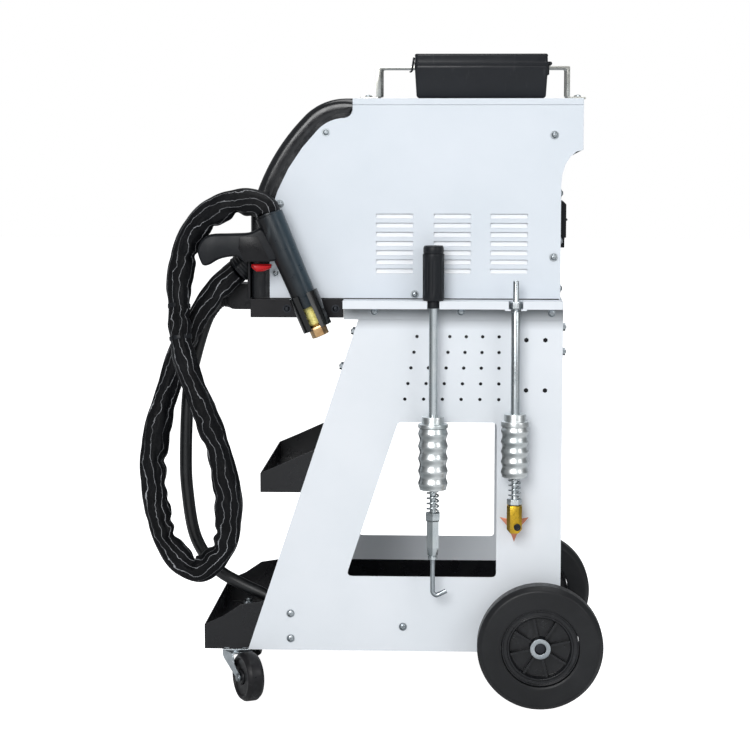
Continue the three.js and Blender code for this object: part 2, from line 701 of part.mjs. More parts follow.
function sideCoverOutline() {
  const inset = cabinet.band + gap;
  const front = frontCurve(inset).filter((point) => point.y < coverTop);
  const back = rearCurve(0);
  return shapeOf([
    ...front, V2(topFront, front.at(-1).y), V2(topFront, coverTop), V2(cabinet.podRear, coverTop),
    ...back.reverse(), V2(cabinet.rear, cabinetBottom),
  ]);
}

function sideCover(side) {
  const range = (from, to) => [side * from, side * to].sort((a, b) => a - b);
  const inner = halfWidth - cabinet.skin;
  const through = range(inner - overrun, halfWidth + overrun);
  const slots = [];
  for (const x of louvre.columns) {
    for (let row = 0; row < louvre.rows; row++) {
      const top = louvre.top - row * louvre.pitch;
      slots.push(box(x, x + louvre.width, ...through, top - louvre.height, top));
    }
  }
  return cut(joined(acrossY(sideCoverOutline(), ...range(inner, halfWidth))), ...slots);
}

add('near_cover', sideCover(-1), paleGrey);
add('far_cover', sideCover(1), paleGrey);

// Top cover: a lid with side lips that lie over the side covers' top edges
function topCover() {
  const under = cabinet.top - cabinet.skin;
  const lipBottom = cabinet.top - cabinet.topLip;
  const inner = halfWidth - cabinet.skin;
  return alongX(mirroredProfile([
    [halfWidth, cabinet.top], [halfWidth, lipBottom], [inner, lipBottom], [inner, under],
  ]), topFront, cabinet.podRear);
}

add('top_cover', topCover(), paleGrey);

// Base tray of the cabinet, standing on the deck
const shellInner = halfWidth - cabinet.skin - gap;
const baseFront = cabinet.front + cabinet.band + gap;
const rearPanelInner = cabinet.rear - cabinet.skin;

function cabinetBase() {
  const floor = cabinetBottom + cabinet.skin;
  const flangeTop = cabinetBottom + cabinet.baseFlange;
  const flangeInner = shellInner - cabinet.skin;
  return alongX(mirroredProfile([
    [flangeInner, floor], [flangeInner, flangeTop], [shellInner, flangeTop], [shellInner, cabinetBottom],
  ]), baseFront, rearPanelInner - gap);
}

add('cabinet_base', cabinetBase(), paleGrey);

// Rear panel bent to the pod's hollow curve, with vent slots
function rearPanel() {
  const top = cabinet.top - cabinet.skin - gap;
  const outer = rearCurve(0);
  const inner = rearCurve(cabinet.skin);
  const outline = shapeOf([V2(cabinet.rear, cabinetBottom), ...outer, V2(cabinet.podRear, top),
    V2(cabinet.podRear - cabinet.skin, top), ...inner.reverse(), V2(rearPanelInner, cabinetBottom)]);
  const slots = [];
  const slotNear = rearVent.y - rearVent.slotWidth / 2;
  const slotFar = slotNear + rearVent.slotWidth;
  for (let row = 0; row < rearVent.rows; row++) {
    const slotTop = rearVent.top - row * rearVent.pitch;
    slots.push(box(rearPanelInner - overrun, cabinet.rear + overrun, slotNear, slotFar,
      slotTop - rearVent.slotHeight, slotTop));
  }
  return cut(joined(acrossY(outline, -shellInner, shellInner)), ...slots);
}

add('rear_panel', rearPanel(), paleGrey);

// Front bezel: a rounded frame around the sunk control panel
function bezelOutline(depth) {
  const outer = frontCurve(0);
  const inner = frontCurve(depth).reverse();
  const end = topFront - gap;
  return shapeOf([...outer, V2(end, cabinet.top), V2(end, cabinet.top - depth), ...inner]);
}

const panelHalf = halfWidth - bezel.sideWidth;
const controlBottom = cabinetBottom + bezel.bottomBar;

function frontBezel() {
  const opening = frontCurve(-overrun, bezel.topBarDegrees, controlBottom);
  const back = frontCurve(cabinet.band + overrun, bezel.topBarDegrees, controlBottom).reverse();
  return cut(joined(acrossY(bezelOutline(cabinet.band), -halfWidth, halfWidth)),
    acrossY(shapeOf([...opening, ...back]), -panelHalf, panelHalf));
}

add('front_bezel', frontBezel(), blackPlastic);

// Control panel: a curved plate seated inside the bezel's opening
const panelTopDegrees = bezel.topBarDegrees - bezel.lapDegrees;

function controlPanelOutline() {
  const bottom = controlBottom + gap;
  const front = frontCurve(controlPanel.depthBelow, panelTopDegrees, bottom);
  const depth = controlPanel.depthBelow + controlPanel.thickness;
  const back = frontCurve(depth, panelTopDegrees, bottom).reverse();
  return shapeOf([...front, ...back]);
}

// A place on the control panel's face and the direction it faces
function panelSeat(degrees, y) {
  const at = frontPoint(degrees, controlPanel.depthBelow);
  return {
    place: V3(at.x, y, at.y),
    normal: V3(-Math.cos(degrees * degree), 0, Math.sin(degrees * degree)),
  };
}

const buttonYs = [-button.spacing / 2, button.spacing / 2];

function controlPanelSolid() {
  const holes = buttonYs.map((y) => {
    const seat = panelSeat(controlPanel.buttonDegrees, y);
    const depth = controlPanel.thickness + overrun;
    const hole = rod(button.radius + button.clearance, -depth, overrun, button.segments);
    return pointed(hole, seat.normal, seat.place);
  });
  return cut(joined(acrossY(controlPanelOutline(), -panelHalf + gap, panelHalf - gap)), ...holes);
}

add('control_panel', controlPanelSolid(), greyPlastic);

function displayWindow() {
  const seat = panelSeat(controlPanel.displayDegrees, 0);
  const halfHeight = display.height / 2;
  const halfAcross = display.width / 2;
  const plate = box(-halfHeight, halfHeight, -halfAcross, halfAcross, gap, gap + display.thickness);
  return pointed(plate, seat.normal, seat.place);
}

add('display_window', displayWindow(), screenGlass);

function selectorKnob() {
  const seat = panelSeat(controlPanel.knobDegrees, 0);
  const body = turned([
    [0, gap * 2], [knob.skirtRadius, gap * 2], [knob.skirtRadius, knob.skirtHeight],
    [knob.radius, knob.skirtHeight],
    [knob.radius, knob.height - knob.markerHeight], [knob.radius - knob.markerHeight, knob.height],
    [0, knob.height],
  ], knob.segments);
  const markerHalf = knob.markerWidth / 2;
  const marker = box(-knob.radius + gap, 0, -markerHalf, markerHalf, knob.skirtHeight,
    knob.height + knob.markerHeight);
  return pointed(toGeometry(joined(body, marker)), seat.normal, seat.place);
}

add('selector_knob', selectorKnob(), blackPlastic);

function pushButton(y) {
  const seat = panelSeat(controlPanel.buttonDegrees, y);
  const capFrom = button.travel + 2 * gap;
  return pointed(turned([
    [0, -button.inside], [button.radius, -button.inside], [button.radius, capFrom],
    [button.capRadius, capFrom],
    [button.capRadius, capFrom + button.proud], [0, capFrom + button.proud],
  ], button.segments), seat.normal, seat.place);
}

add('button_start', pushButton(buttonYs[0]), redPlastic);
add('button_mode', pushButton(buttonYs[1]), greyPlastic);

// Cable outlet under the bezel: a plate with a hood for the earth cable and a collar for the gun's sleeve
const outletFace = cabinet.front - gap;
const earthExit = V3(outletFace - outlet.reach, (outlet.hoodY + outlet.farY) / 2,
  outlet.bottom + outlet.exitHeight);
const sleeveOut = V3(-Math.cos(outlet.sleeveDegrees * degree), 0, -Math.sin(outlet.sleeveDegrees * degree));
const sleeveRoot = V3(outletFace - outlet.plateThickness / 2, outlet.sleeveY, outlet.sleeveZ);

function cableOutlet() {
  const front = outletFace - outlet.reach;
  const corner = new THREE.Shape();
  corner.moveTo(outletFace, outlet.bottom);
  corner.lineTo(outletFace, outlet.top);
  corner.lineTo(front + outlet.ledgeStep, outlet.top);
  corner.lineTo(front + outlet.ledgeStep, outlet.top - outlet.ledgeDrop);
  corner.lineTo(front, outlet.top - outlet.ledgeDrop);
  corner.lineTo(front, outlet.bottom + outlet.corner);
  corner.quadraticCurveTo(front, outlet.bottom, front + outlet.corner, outlet.bottom);
  const hood = acrossY(corner, outlet.hoodY, outlet.farY, outlet.cornerSteps);
  const plate = box(outletFace - outlet.plateThickness, outletFace, outlet.nearY, outlet.farY,
    cabinetBottom, outlet.plateTop);
  const collar = pointed(rod(outlet.sleeveRadius, 0, outlet.sleeveReach, outlet.segments), sleeveOut,
    sleeveRoot);
  const behind = box(outletFace, outletFace + outlet.sleeveReach, outlet.nearY - overrun, outlet.farY,
    outlet.bottom, outlet.plateTop + overrun);
  return cut(joined(hood, plate, collar), behind);
}

add('cable_outlet', cableOutlet(), blackPlastic);

// Carrying handle: one strip bent like a hat, with its feet turned outwards
function topHandle() {
  const foot = cabinet.top + gap;
  const top = foot + handle.height;
  const footEnd = handle.left - handle.foot;
  const innerLeft = handle.left + handle.strip;
  const mirrorX = (point) => V2(handle.left + handle.right - point.x, point.y);
  const upper = [
    V2(footEnd, foot + handle.strip), V2(handle.left, foot + handle.strip),
    V2(handle.left, top - handle.bend),
    V2(handle.left + handle.bend, top),
  ];
  const lower = [
    V2(footEnd, foot), V2(innerLeft, foot), V2(innerLeft, top - handle.strip - handle.bend),
    V2(innerLeft + handle.bend, top - handle.strip),
  ];
  const outline = [...upper, ...upper.map(mirrorX).reverse(), ...lower.map(mirrorX), ...lower.reverse()];
  return acrossY(shapeOf(outline), handle.y - handle.width / 2, handle.y + handle.width / 2);
}

add('top_handle', topHandle(), stainless);

// Circuit breaker on the rear panel
const breakerBack = cabinet.rear + gap;
const leverZ = (breaker.step + breaker.top) / 2;

function breakerBody() {
  const face = breakerBack + breaker.depth;
  const outline = shapeOf([
    V2(breakerBack, breaker.bottom), V2(breakerBack + breaker.stepDepth, breaker.bottom),
    V2(breakerBack + breaker.stepDepth, breaker.step), V2(face, breaker.step),
    V2(face, breaker.top - breaker.chamfer), V2(face - breaker.chamfer, breaker.top),
    V2(breakerBack, breaker.top),
  ]);
  const half = breaker.width / 2;
  const recessHalf = breaker.windowWidth / 2;
  const recessRise = breaker.windowHeight / 2;
  const recess = box(breakerBack + breaker.recessFloor, face + overrun,
    breaker.y - recessHalf, breaker.y + recessHalf, leverZ - recessRise, leverZ + recessRise);
  return cut(joined(acrossY(outline, breaker.y - half, breaker.y + half)), recess);
}

function breakerLever() {
  const hub = breakerBack + breaker.recessFloor + gap + breaker.leverHub;
  const wedge = new THREE.Shape();
  wedge.moveTo(breaker.leverReach, -breaker.leverTip);
  wedge.lineTo(breaker.leverReach, breaker.leverTip);
  wedge.lineTo(0, breaker.leverHub);
  wedge.absarc(0, 0, breaker.leverHub, Math.PI / 2, Math.PI * 1.5, false);
  const half = breaker.leverWidth / 2;
  const lever = acrossY(wedge, breaker.y - half, breaker.y + half);
  return lever.rotateY(breaker.travelDegrees / 2 * degree).translate(hub, 0, leverZ);
}

add('breaker_body', breakerBody(), blackPlastic);
add('breaker_lever', breakerLever(), blackPlastic);

// Gland on the far side where a mains lead would enter
function mainsGland() {
  return pointed(turned([
    [0, gap], [gland.flange, gap], [gland.flange, gap + gland.flangeThickness],
    [gland.radius, gap + gland.flangeThickness],
    [gland.radius * gland.noseShare, gland.reach], [gland.bore, gland.reach],
    [gland.bore, gland.flangeThickness],
    [0, gland.flangeThickness],
  ], gland.segments), V3(0, 1, 0), V3(gland.x, halfWidth, gland.z));
}

add('mains_gland', mainsGland(), blackPlastic);

// Transformer: a closed core frame with a winding round its middle leg
const coreBottom = cabinetBottom + cabinet.skin + gap;

function transformerCore() {
  const t = transformer;
  const x0 = t.x - t.width / 2;
  const y0 = t.y - t.depth / 2;
  const frame = box(x0, x0 + t.width, y0, y0 + t.depth, coreBottom, coreBottom + t.height);
  const side = (t.width - t.leg) / 2 - t.leg / 2;
  const opening = (from) => box(from, from + side, y0 - overrun, y0 + t.depth + overrun,
    coreBottom + t.leg / 2, coreBottom + t.height - t.leg / 2);
  return cut(joined(frame), opening(x0 + t.leg / 2), opening(x0 + t.width - t.leg / 2 - side));
}

function transformerWinding() {
  const t = transformer;
  const reachX = t.leg / 2 + gap;
  const reachY = t.depth / 2 + gap;
  const z0 = coreBottom + t.leg / 2 + gap;
  const z1 = coreBottom + t.height - t.leg / 2 - gap;
  const outer = box(t.x - reachX - t.windingWall, t.x + reachX + t.windingWall,
    t.y - reachY - t.windingWall, t.y + reachY + t.windingWall, z0, z1);
  const inner = box(t.x - reachX, t.x + reachX, t.y - reachY, t.y + reachY, z0 - overrun, z1 + overrun);
  return cut(joined(outer), inner);
}

add('transformer_core', transformerCore(), steel);
add('transformer_winding', transformerWinding(), winding);

// Tool box
const boxFloor = cabinet.top + gap;
const boxRim = boxFloor + toolBox.height;

function toolBoxBody() {
  const t = toolBox;
  const outline = shapeOf([
    V2(t.left + t.taper, boxFloor), V2(t.right - t.taper, boxFloor), V2(t.right, boxRim),
    V2(t.left, boxRim),
  ]);
  const hollow = shapeOf([
    V2(t.left + t.taper + t.wall, boxFloor + t.wall), V2(t.right - t.taper - t.wall, boxFloor + t.wall),
    V2(t.right - t.wall, boxRim + overrun), V2(t.left + t.wall, boxRim + overrun),
  ]);
  return cut(joined(acrossY(outline, t.near, t.far)), acrossY(hollow, t.near + t.wall, t.far - t.wall));
}

const hingeX = toolBox.right + toolBox.hingeRadius + gap;

function toolBoxLid() {
  const t = toolBox;
  const bottom = boxRim + gap;
  const outer = box(t.left, t.right, t.near, t.far, bottom, bottom + t.lidHeight);
  const hollow = box(t.left + t.wall, t.right - t.wall, t.near + t.wall, t.far - t.wall,
    bottom - overrun, bottom + t.lidHeight - t.wall);
  const hingeNear = t.near + t.claspWidth / 2;
  const hingeFar = t.far - t.claspWidth / 2;
  const barrel = crossRod(t.hingeRadius, hingeX, bottom + t.hingeRadius, hingeNear, hingeFar, holeSides);
  const leaf = box(t.right - t.wall, hingeX, hingeNear, hingeFar, bottom + t.hingeRadius,
    bottom + 2 * t.hingeRadius);
  return cut(joined(outer), hollow).add(toSolid(barrel)).add(toSolid(leaf));
}

const claspTop = boxRim + toolBox.lidHeight * toolBox.claspShare;

function toolBoxClasp() {
  const t = toolBox;
  const y = (t.near + t.far) / 2;
  const thickness = t.claspThickness;
  const right = -t.claspGap;
  const outline = shapeOf([
    V2(right, thickness / 2), V2(right - thickness, thickness / 2),
    V2(right - thickness, -t.claspLength + thickness), V2(right - thickness * 2, -t.claspLength),
    V2(right - thickness, -t.claspLength), V2(right, -t.claspLength + thickness),
  ]);
  return acrossY(outline, y - t.claspWidth / 2, y + t.claspWidth / 2).translate(t.left, 0, claspTop);
}

add('toolbox_body', toolBoxBody(), blackPlastic);
add('toolbox_lid', toolBoxLid(), blackPlastic);
add('toolbox_clasp', toolBoxClasp(), blackPlastic);

// Welding gun: everything is placed along its axis, from the tail to the tip
const gunAxis = V3(Math.sin(gun.leanDegrees * degree), 0, -Math.cos(gun.leanDegrees * degree));
const gunTail = V3(gun.tailX, gun.y, gun.tailZ);
const alongGun = (geometry) => pointed(geometry, gunAxis, gunTail);
const barrelEnd = gun.barrel;

function gunBarrelProfile(grow) {
  return [
    [0, -gun.collar], [gun.collarRadius + grow, -gun.collar], [gun.collarRadius + grow, 0],
    [gun.rearRadius + grow, 0],
    [gun.noseRadius + grow, barrelEnd - gun.nose], [gun.noseRadius + grow, barrelEnd], [0, barrelEnd],
  ];
}

function gunElectrode() {
  const start = barrelEnd + gap;
  const tipStart = start + gun.chuck;
  const end = tipStart + gun.tip;
  return alongGun(turned([
    [0, start], [gun.chuckRadius, start], [gun.chuckRadius, tipStart - gun.chuckRadius / 2],
    [gun.chuckRadius * gun.chuckEndShare, tipStart],
    [gun.tipRadius, tipStart + gun.tip / 3], [gun.tipRadius, end], [0, end],
  ], gun.segments));
}

// The grip's outline hangs from the tail of the gun
function gunGrip() {
  const toPoint = ([x, z]) => V2(gun.tailX + x * gun.gripReach, gun.tailZ + z * gun.gripDrop);
  const points = gripShares.map(toPoint);
  const core = acrossY(shapeOf(points), gun.y - gun.grip / 2, gun.y + gun.grip / 2);
  const pocket = triggerStem(gap, 2 * trigger.travel + trigger.stem + 2 * gap);
  return cut(joined(core), alongGun(turned(gunBarrelProfile(gap), gun.segments)), pocket);
}

// The stem that guides the trigger, or with some growth the pocket for it, rising along the gun's axis
function triggerStem(grow, rise) {
  const half = trigger.stemWidth / 2 + grow;
  const top = V3(gun.tailX + trigger.left + trigger.width / 2, gun.y,
    gun.tailZ + trigger.seat - gap - trigger.travel);
  return pointed(box(-half, half, -half, half, -rise, trigger.root), gunAxis, top);
}

function gunTrigger() {
  const x = gun.tailX + trigger.left;
  const z = gun.tailZ + trigger.seat - gap - trigger.travel;
  const toPoint = ([across, down]) => V2(x + across * trigger.width, z - down * trigger.height);
  const outline = trigger.bladeShares.map(toPoint);
  const blade = acrossY(shapeOf(outline), gun.y - trigger.thickness / 2, gun.y + trigger.thickness / 2);
  return joined(blade, triggerStem(0, trigger.travel + trigger.stem));
}

add('gun_barrel', alongGun(turned(gunBarrelProfile(0), gun.segments)), blackPlastic);
add('gun_grip', gunGrip(), blackPlastic);
add('gun_trigger', gunTrigger(), redPlastic);
add('gun_electrode', gunElectrode(), brass);

// Gun holder: an angle bar under the cabinet's front, and an open cradle around the gun's nose
const armFace = -halfWidth - thinSheet;
const armOuter = armFace - arm.thickness;

function gunArm() {
  const top = deckTop;
  return alongX([
    V2(armOuter, top), V2(armOuter, top - arm.drop), V2(armFace, top - arm.drop),
    V2(armFace, top - arm.thickness),
    V2(armFace + arm.shelf, top - arm.thickness), V2(armFace + arm.shelf, top),
  ], arm.front, deckFront - gap);
}

function gunCradle() {
  const inner = gun.noseRadius + 2 * gap;
  const outer = inner + cradle.wall;
  const shell = alongGun(turned([[inner, cradle.from], [outer, cradle.from], [outer, cradle.to],
    [inner, cradle.to],
    [inner, cradle.from]], cradle.segments));
  const ledgeFrom = barrelEnd + gap;
  const ledgeInner = gun.chuckRadius + cradle.chuckRoom;
  const ledgeTo = ledgeFrom + cradle.ledge;
  const ledge = alongGun(turned([[ledgeInner, ledgeFrom], [inner + gap, ledgeFrom], [inner + gap, ledgeTo],
    [ledgeInner, ledgeTo], [ledgeInner, ledgeFrom]], cradle.segments));
  const centre = gunTail.clone().addScaledVector(gunAxis, barrelEnd);
  const block = box(centre.x - cradle.block / 2, centre.x + cradle.block / 2, gun.y, armOuter - gap,
    deckTop - arm.drop, deckTop);
  const farEnd = cradle.to + cradle.block;
  const bore = alongGun(rod(inner, cradle.from - cradle.block, barrelEnd, cradle.segments));
  const chuckBore = alongGun(rod(ledgeInner, cradle.from - overrun, farEnd, cradle.segments));
  const lowBore = alongGun(rod(inner, ledgeTo, farEnd, cradle.segments));
  const half = gun.noseRadius * Math.sin(cradle.openDegrees / 2 * degree);
  const mouth = box(-half, half, -outer - overrun, 0, cradle.from - overrun, cradle.to + overrun);
  const frontMouth = pointed(mouth, gunAxis, gunTail);
  return cut(joined(shell, ledge, block), bore, chuckBore, lowBore, frontMouth);
}

add('gun_arm', gunArm(), blackPaint);
add('gun_cradle', gunCradle(), blackPaint);

// Slide hammers
function bulgedWeight(h) {
  const bore = h.rodRadius + gap;
  const points = [
    [bore, h.weightTop], [h.weightNutRadius, h.weightTop], [h.weightNutRadius, h.weightNutBottom],
    [h.weightRadius, h.weightNutBottom - gap], [h.weightRadius, h.flangeBottom],
  ];
  const pitch = (h.flangeBottom - h.weightBottom) / h.bulges;
  for (let i = 0; i < h.bulges; i++) {
    for (let k = 1; k <= weightWaveSteps; k++) {
      const share = k / weightWaveSteps;
      const dip = h.waist * (1 + Math.cos(2 * Math.PI * share)) / 2;
      points.push([h.weightRadius - dip, h.flangeBottom - (i + share) * pitch]);
    }
  }
  points.push([bore, h.weightBottom], [bore, h.weightTop]);
  return turned(points.reverse(), h.segments).translate(h.x, hammerY, 0);
}

// A coil spring between two seats, with flat closing ends left off
function springPoints(h, bottom, top) {
  const radius = h.springRadius - h.springWire / 2;
  const low = bottom + h.springWire / 2 + gap;
  const high = top - h.springWire / 2 - gap;
  const total = h.springTurns * springStepsPerTurn;
  const points = [];
  for (let i = 0; i <= total; i++) {
    const angle = i / springStepsPerTurn * 2 * Math.PI;
    const z = low + (high - low) * i / total;
    points.push(V3(h.x + radius * Math.cos(angle), hammerY + radius * Math.sin(angle), z));
  }
  return points;
}

function addSpring(name, h, bottom, top) {
  const points = springPoints(h, bottom, top);
  console.log(`${name} least gap ${leastGap(points, h.springWire).toFixed(2)} mm`);
  add(name, woundTube(points, h.springWire / 2, springSides), steel);
}

// Hook hammer: grip, rod with nut, adapter and hook, and the weight that slides on the rod
const hookNeckTop = deckTop + gap;

function gripFlutes(h) {
  const flutes = [];
  const offset = h.gripRadius + h.fluteDepth;
  for (let i = 0; i < h.flutes; i++) {
    const angle = i / h.flutes * 2 * Math.PI;
    const flute = rod(h.fluteDepth * 2, hookNeckTop + overrun, h.capBottom - overrun, holeSides);
    flutes.push(flute.translate(h.x + offset * Math.cos(angle), hammerY + offset * Math.sin(angle), 0));
  }
  return flutes;
}

function hookGripSolid() {
  const h = hookHammer;
  const body = turned([
    [0, hookNeckTop], [h.gripRadius, hookNeckTop], [h.gripRadius, h.capBottom],
    [h.capRadius, h.capBottom + gap],
    [h.capRadius, h.gripTop - h.fluteDepth * 2], [h.capRadius - h.fluteDepth * 2, h.gripTop],
    [0, h.gripTop],
  ], h.segments).translate(h.x, hammerY, 0);
  const bore = rod(h.rodRadius + gap, hookNeckTop - overrun, h.capBottom, h.segments);
  bore.translate(h.x, hammerY, 0);
  return cut(joined(body), bore, ...gripFlutes(h));
}

function hookRod() {
  const h = hookHammer;
  return turned([
    [0, h.lowNutBottom], [h.lowNutRadius, h.lowNutBottom], [h.lowNutRadius, h.taperBottom],
    [h.adapterRadius, h.adapterBottom], [h.adapterRadius, h.nutTop], [h.nutRadius, h.nutTop],
    [h.nutRadius, h.nutBottom],
    [h.springRodRadius, h.nutBottom], [h.springRodRadius, h.weightBottom],
    [h.rodRadius, h.weightBottom + overrun],
    [h.rodRadius, h.neckBottom], [h.neckRadius, h.neckBottom], [h.neckRadius, hookNeckTop - gap],
    [h.rodRadius, hookNeckTop - gap], [h.rodRadius, h.capBottom - gap], [0, h.capBottom - gap],
  ], h.segments).translate(h.x, hammerY, 0);
}

// The hook drops from the rod's end, turns under and points up towards +X
function pullHook() {
  const h = hookHammer;
  const top = h.lowNutBottom - gap;
  const bottom = top - h.hookDrop;
  const points = [V3(0, 0, top), V3(0, 0, top - h.hookDrop / 2)];
  for (let i = 0; i <= h.hookSteps; i++) {
    const angle = i / h.hookSteps * Math.PI / 2;
    points.push(V3(h.hookBend * (1 - Math.cos(angle)), 0, bottom + h.hookBend * (1 - Math.sin(angle))));
  }
  points.push(V3(h.hookArm, 0, bottom + h.hookRise));
  return tube(points, h.hookWire, holeSides, h.hookTubeSteps).translate(h.x, hammerY, 0);
}

add('hook_hammer_grip', hookGripSolid(), rubber);
add('hook_hammer_rod', hookRod(), steel);
add('hook_hammer_hook', pullHook(), steel);
add('hook_hammer_weight', bulgedWeight(hookHammer), steel);
addSpring('hook_hammer_spring', hookHammer, hookHammer.nutBottom, hookHammer.weightBottom);

// Star hammer: rod with nuts, a brass block that carries the star plate, and its weight
function starRod() {
  const h = starHammer;
  return turned([
    [0, h.lowNutBottom], [h.lowNutRadius, h.lowNutBottom], [h.lowNutRadius, h.lowNutTop],
    [h.springRodRadius, h.lowNutTop],
    [h.springRodRadius, h.weightBottom], [h.rodRadius, h.weightBottom + overrun],
    [h.rodRadius, h.nutBottom - overrun],
    [h.thinRadius, h.nutBottom - overrun], [h.thinRadius, h.nutBottom], [h.nutRadius, h.nutBottom],
    [h.nutRadius, h.nutTop],
    [h.thinRadius, h.nutTop], [h.thinRadius, h.top], [0, h.top],
  ], h.segments).translate(h.x, hammerY, 0);
}

function starBlock() {
  const h = starHammer;
  const half = h.block / 2;
  const top = h.lowNutBottom - gap;
  const outline = shapeOf([
    V2(h.x - half, top), V2(h.x - half, h.blockBottom + h.blockChamfer),
    V2(h.x - half + h.blockChamfer, h.blockBottom), V2(h.x + half - h.blockChamfer, h.blockBottom),
    V2(h.x + half, h.blockBottom + h.blockChamfer), V2(h.x + half, top),
  ]);
  return acrossY(outline, hammerY - half, hammerY + half);
}

// A three pointed plate screwed flat behind the block
function starPlate() {
  const h = starHammer;
  const points = [];
  const corners = h.starPoints * 2;
  for (let i = 0; i < corners; i++) {
    const angle = h.starFirstDegrees * degree - i / corners * 2 * Math.PI;
    const reach = i % 2 === 0 ? h.starReach : h.starNotch;
    points.push(V2(h.x + reach * Math.cos(angle), h.starZ + reach * Math.sin(angle)));
  }
  const face = hammerY + h.block / 2 + gap;
  return acrossY(shapeOf(points), face, face + h.starThickness);
}

add('star_hammer_rod', starRod(), steel);
add('star_hammer_block', starBlock(), brass);
add('star_hammer_star', starPlate(), copper);
add('star_hammer_weight', bulgedWeight(starHammer), steel);
addSpring('star_hammer_spring', starHammer, starHammer.lowNutTop, starHammer.weightBottom);

// Gun cable in its fabric sleeve, from the gun's tail round a hanging loop to the outlet's collar
const sleeveEnd = sleeveRoot.clone().addScaledVector(sleeveOut, outlet.sleeveReach + gap);
const sleeveStart = gunTail.clone().addScaledVector(gunAxis, -gun.collar - gap);
const sleeveRoute = [
  [-453, -210, 802], [-479, -208, 801], [-510, -203, 790], [-536, -197, 771], [-558, -189, 738],
  [-572, -186, 686], [-573, -191, 639], [-570, -204, 594], [-559, -211, 541], [-536, -213, 483],
  [-515, -212, 427], [-500, -208, 366], [-495, -205, 306], [-506, -199, 251], [-547, -192, 215],
  [-590, -184, 244], [-612, -179, 305], [-620, -176, 372], [-613, -171, 437], [-597, -167, 497],
  [-576, -163, 560], [-550, -160, 613], [-521, -158, 655],
];

function gunCable() {
  const lead = sleeve.diameter * sleeve.leadShare;
  const out = sleeveStart.clone().addScaledVector(gunAxis, -lead);
  const ahead = sleeveEnd.clone().addScaledVector(sleeveOut, lead);
  const points = [sleeveStart, out, ...sleeveRoute.map(([x, y, z]) => V3(x, y, z)), ahead, sleeveEnd];
  return tube(points, sleeve.diameter / 2, sleeve.sides, sleeve.steps);
}

// Earth cable: free from the outlet down into the lower tray, then wound there and ending in its clamp
const earthPitch = earth.diameter + earth.spacing;
const trayFloor = panelBottom + thinSheet;
const coilMiddle = earth.acrossShare * earth.diameter / 2;
const coilInner = coilMiddle - earth.turns * earthPitch / 2;
const lowLayer = trayFloor + gap + earth.diameter / 2;
const highLayer = lowLayer + earthPitch;

// The coil runs inwards on the upper layer, drops in half a turn and runs outwards on the lower one
function coilPoints() {
  const points = [];
  const total = 2 * earth.turns + earth.dropTurns;
  const halfDrop = earth.dropTurns / 2;
  const steps = Math.round(total * earth.loopSteps);
  for (let i = 0; i <= steps; i++) {
    const turn = total * i / steps;
    const angle = earth.startDegrees * degree + turn * 2 * Math.PI;
    const fromMiddle = Math.abs(turn - total / 2);
    const radius = coilInner + (fromMiddle - halfDrop) * earthPitch;
    const fall = THREE.MathUtils.smoothstep(turn, earth.turns, earth.turns + earth.dropTurns);
    points.push(V3(earth.x + radius * Math.cos(angle), earth.y + radius * Math.sin(angle),
      highLayer + (lowLayer - highLayer) * fall));
  }
  return points;
}

function coilWithLeads() {
  const turns = coilPoints();
  const startAway = turns[0].clone().sub(turns[1]).setZ(0).normalize().multiplyScalar(earth.lead);
  const endAway = turns.at(-1).clone().sub(turns.at(-2)).setZ(0).normalize().multiplyScalar(earth.endLead);
  return [turns[0].clone().add(startAway), ...turns, turns.at(-1).clone().add(endAway)];
}

const woundEarth = coilWithLeads();
console.log(`earth coil least gap ${leastGap(woundEarth, earth.diameter).toFixed(2)} mm`);
const coilStart = woundEarth[0];
const coilStartAhead = woundEarth[1].clone().sub(woundEarth[0]).normalize();
const coilEnd = woundEarth.at(-1);
const coilEndAhead = woundEarth.at(-1).clone().sub(woundEarth.at(-2)).normalize();
const earthRoute = [
  [-526, -103, 634], [-541, -112, 604], [-556, -124, 552], [-567, -135, 495], [-572, -136, 399],
  [-570, -137, 333], [-557, -138, 257], [-524, -138, 206], [-482, -139, 180], [-438, -143, 160],
  [-398, -149, 134], [-358, -153, 116],
];

function earthCable() {
  const approach = coilStart.clone().addScaledVector(coilStartAhead, -gap);
  const before = coilStart.clone().addScaledVector(coilStartAhead, -earth.diameter);
  const start = earthExit.clone().setX(earthExit.x - gap);
  const out = start.clone().setX(start.x - earth.diameter / 2);
  const points = [start, out, ...earthRoute.map(([x, y, z]) => V3(x, y, z)), before, approach];
  return tube(points, earth.diameter / 2, earth.sides, earth.steps);
}

// Earth clamp lying on the tray's floor: two flat jaws, made here as one forked block
function earthClamp() {
  const seat = coilEnd.clone().addScaledVector(coilEndAhead, gap);
  const angle = Math.atan2(coilEndAhead.y, coilEndAhead.x);
  const half = clamp.width / 2;
  const outline = shapeOf([
    V2(0, -clamp.tongueWidth / 2), V2(clamp.tongue, -clamp.tongueWidth / 2), V2(clamp.tongue * 2, -half),
    V2(clamp.length, -half), V2(clamp.length, -clamp.jawGap / 2),
    V2(clamp.length - clamp.jawDepth, -clamp.jawGap / 2),
    V2(clamp.length - clamp.jawDepth - clamp.throat / 2, 0),
    V2(clamp.length - clamp.jawDepth, clamp.jawGap / 2), V2(clamp.length, clamp.jawGap / 2),
    V2(clamp.length, half),
    V2(clamp.tongue * 2, half), V2(clamp.tongue, clamp.tongueWidth / 2), V2(0, clamp.tongueWidth / 2),
  ]);
  const bottom = trayFloor + gap;
  return alongZ(outline, 0, clamp.thickness).rotateZ(angle).translate(seat.x, seat.y, bottom);
}

add('gun_cable', gunCable(), fabricBlack);
add('earth_cable', earthCable(), rubber);
add('earth_cable_coil', woundTube(woundEarth, earth.diameter / 2, earth.loopSides), rubber);
add('earth_clamp', earthClamp(), zinc);

const group = new THREE.Group();
group.add(assembly);
export default group;
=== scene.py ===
import math

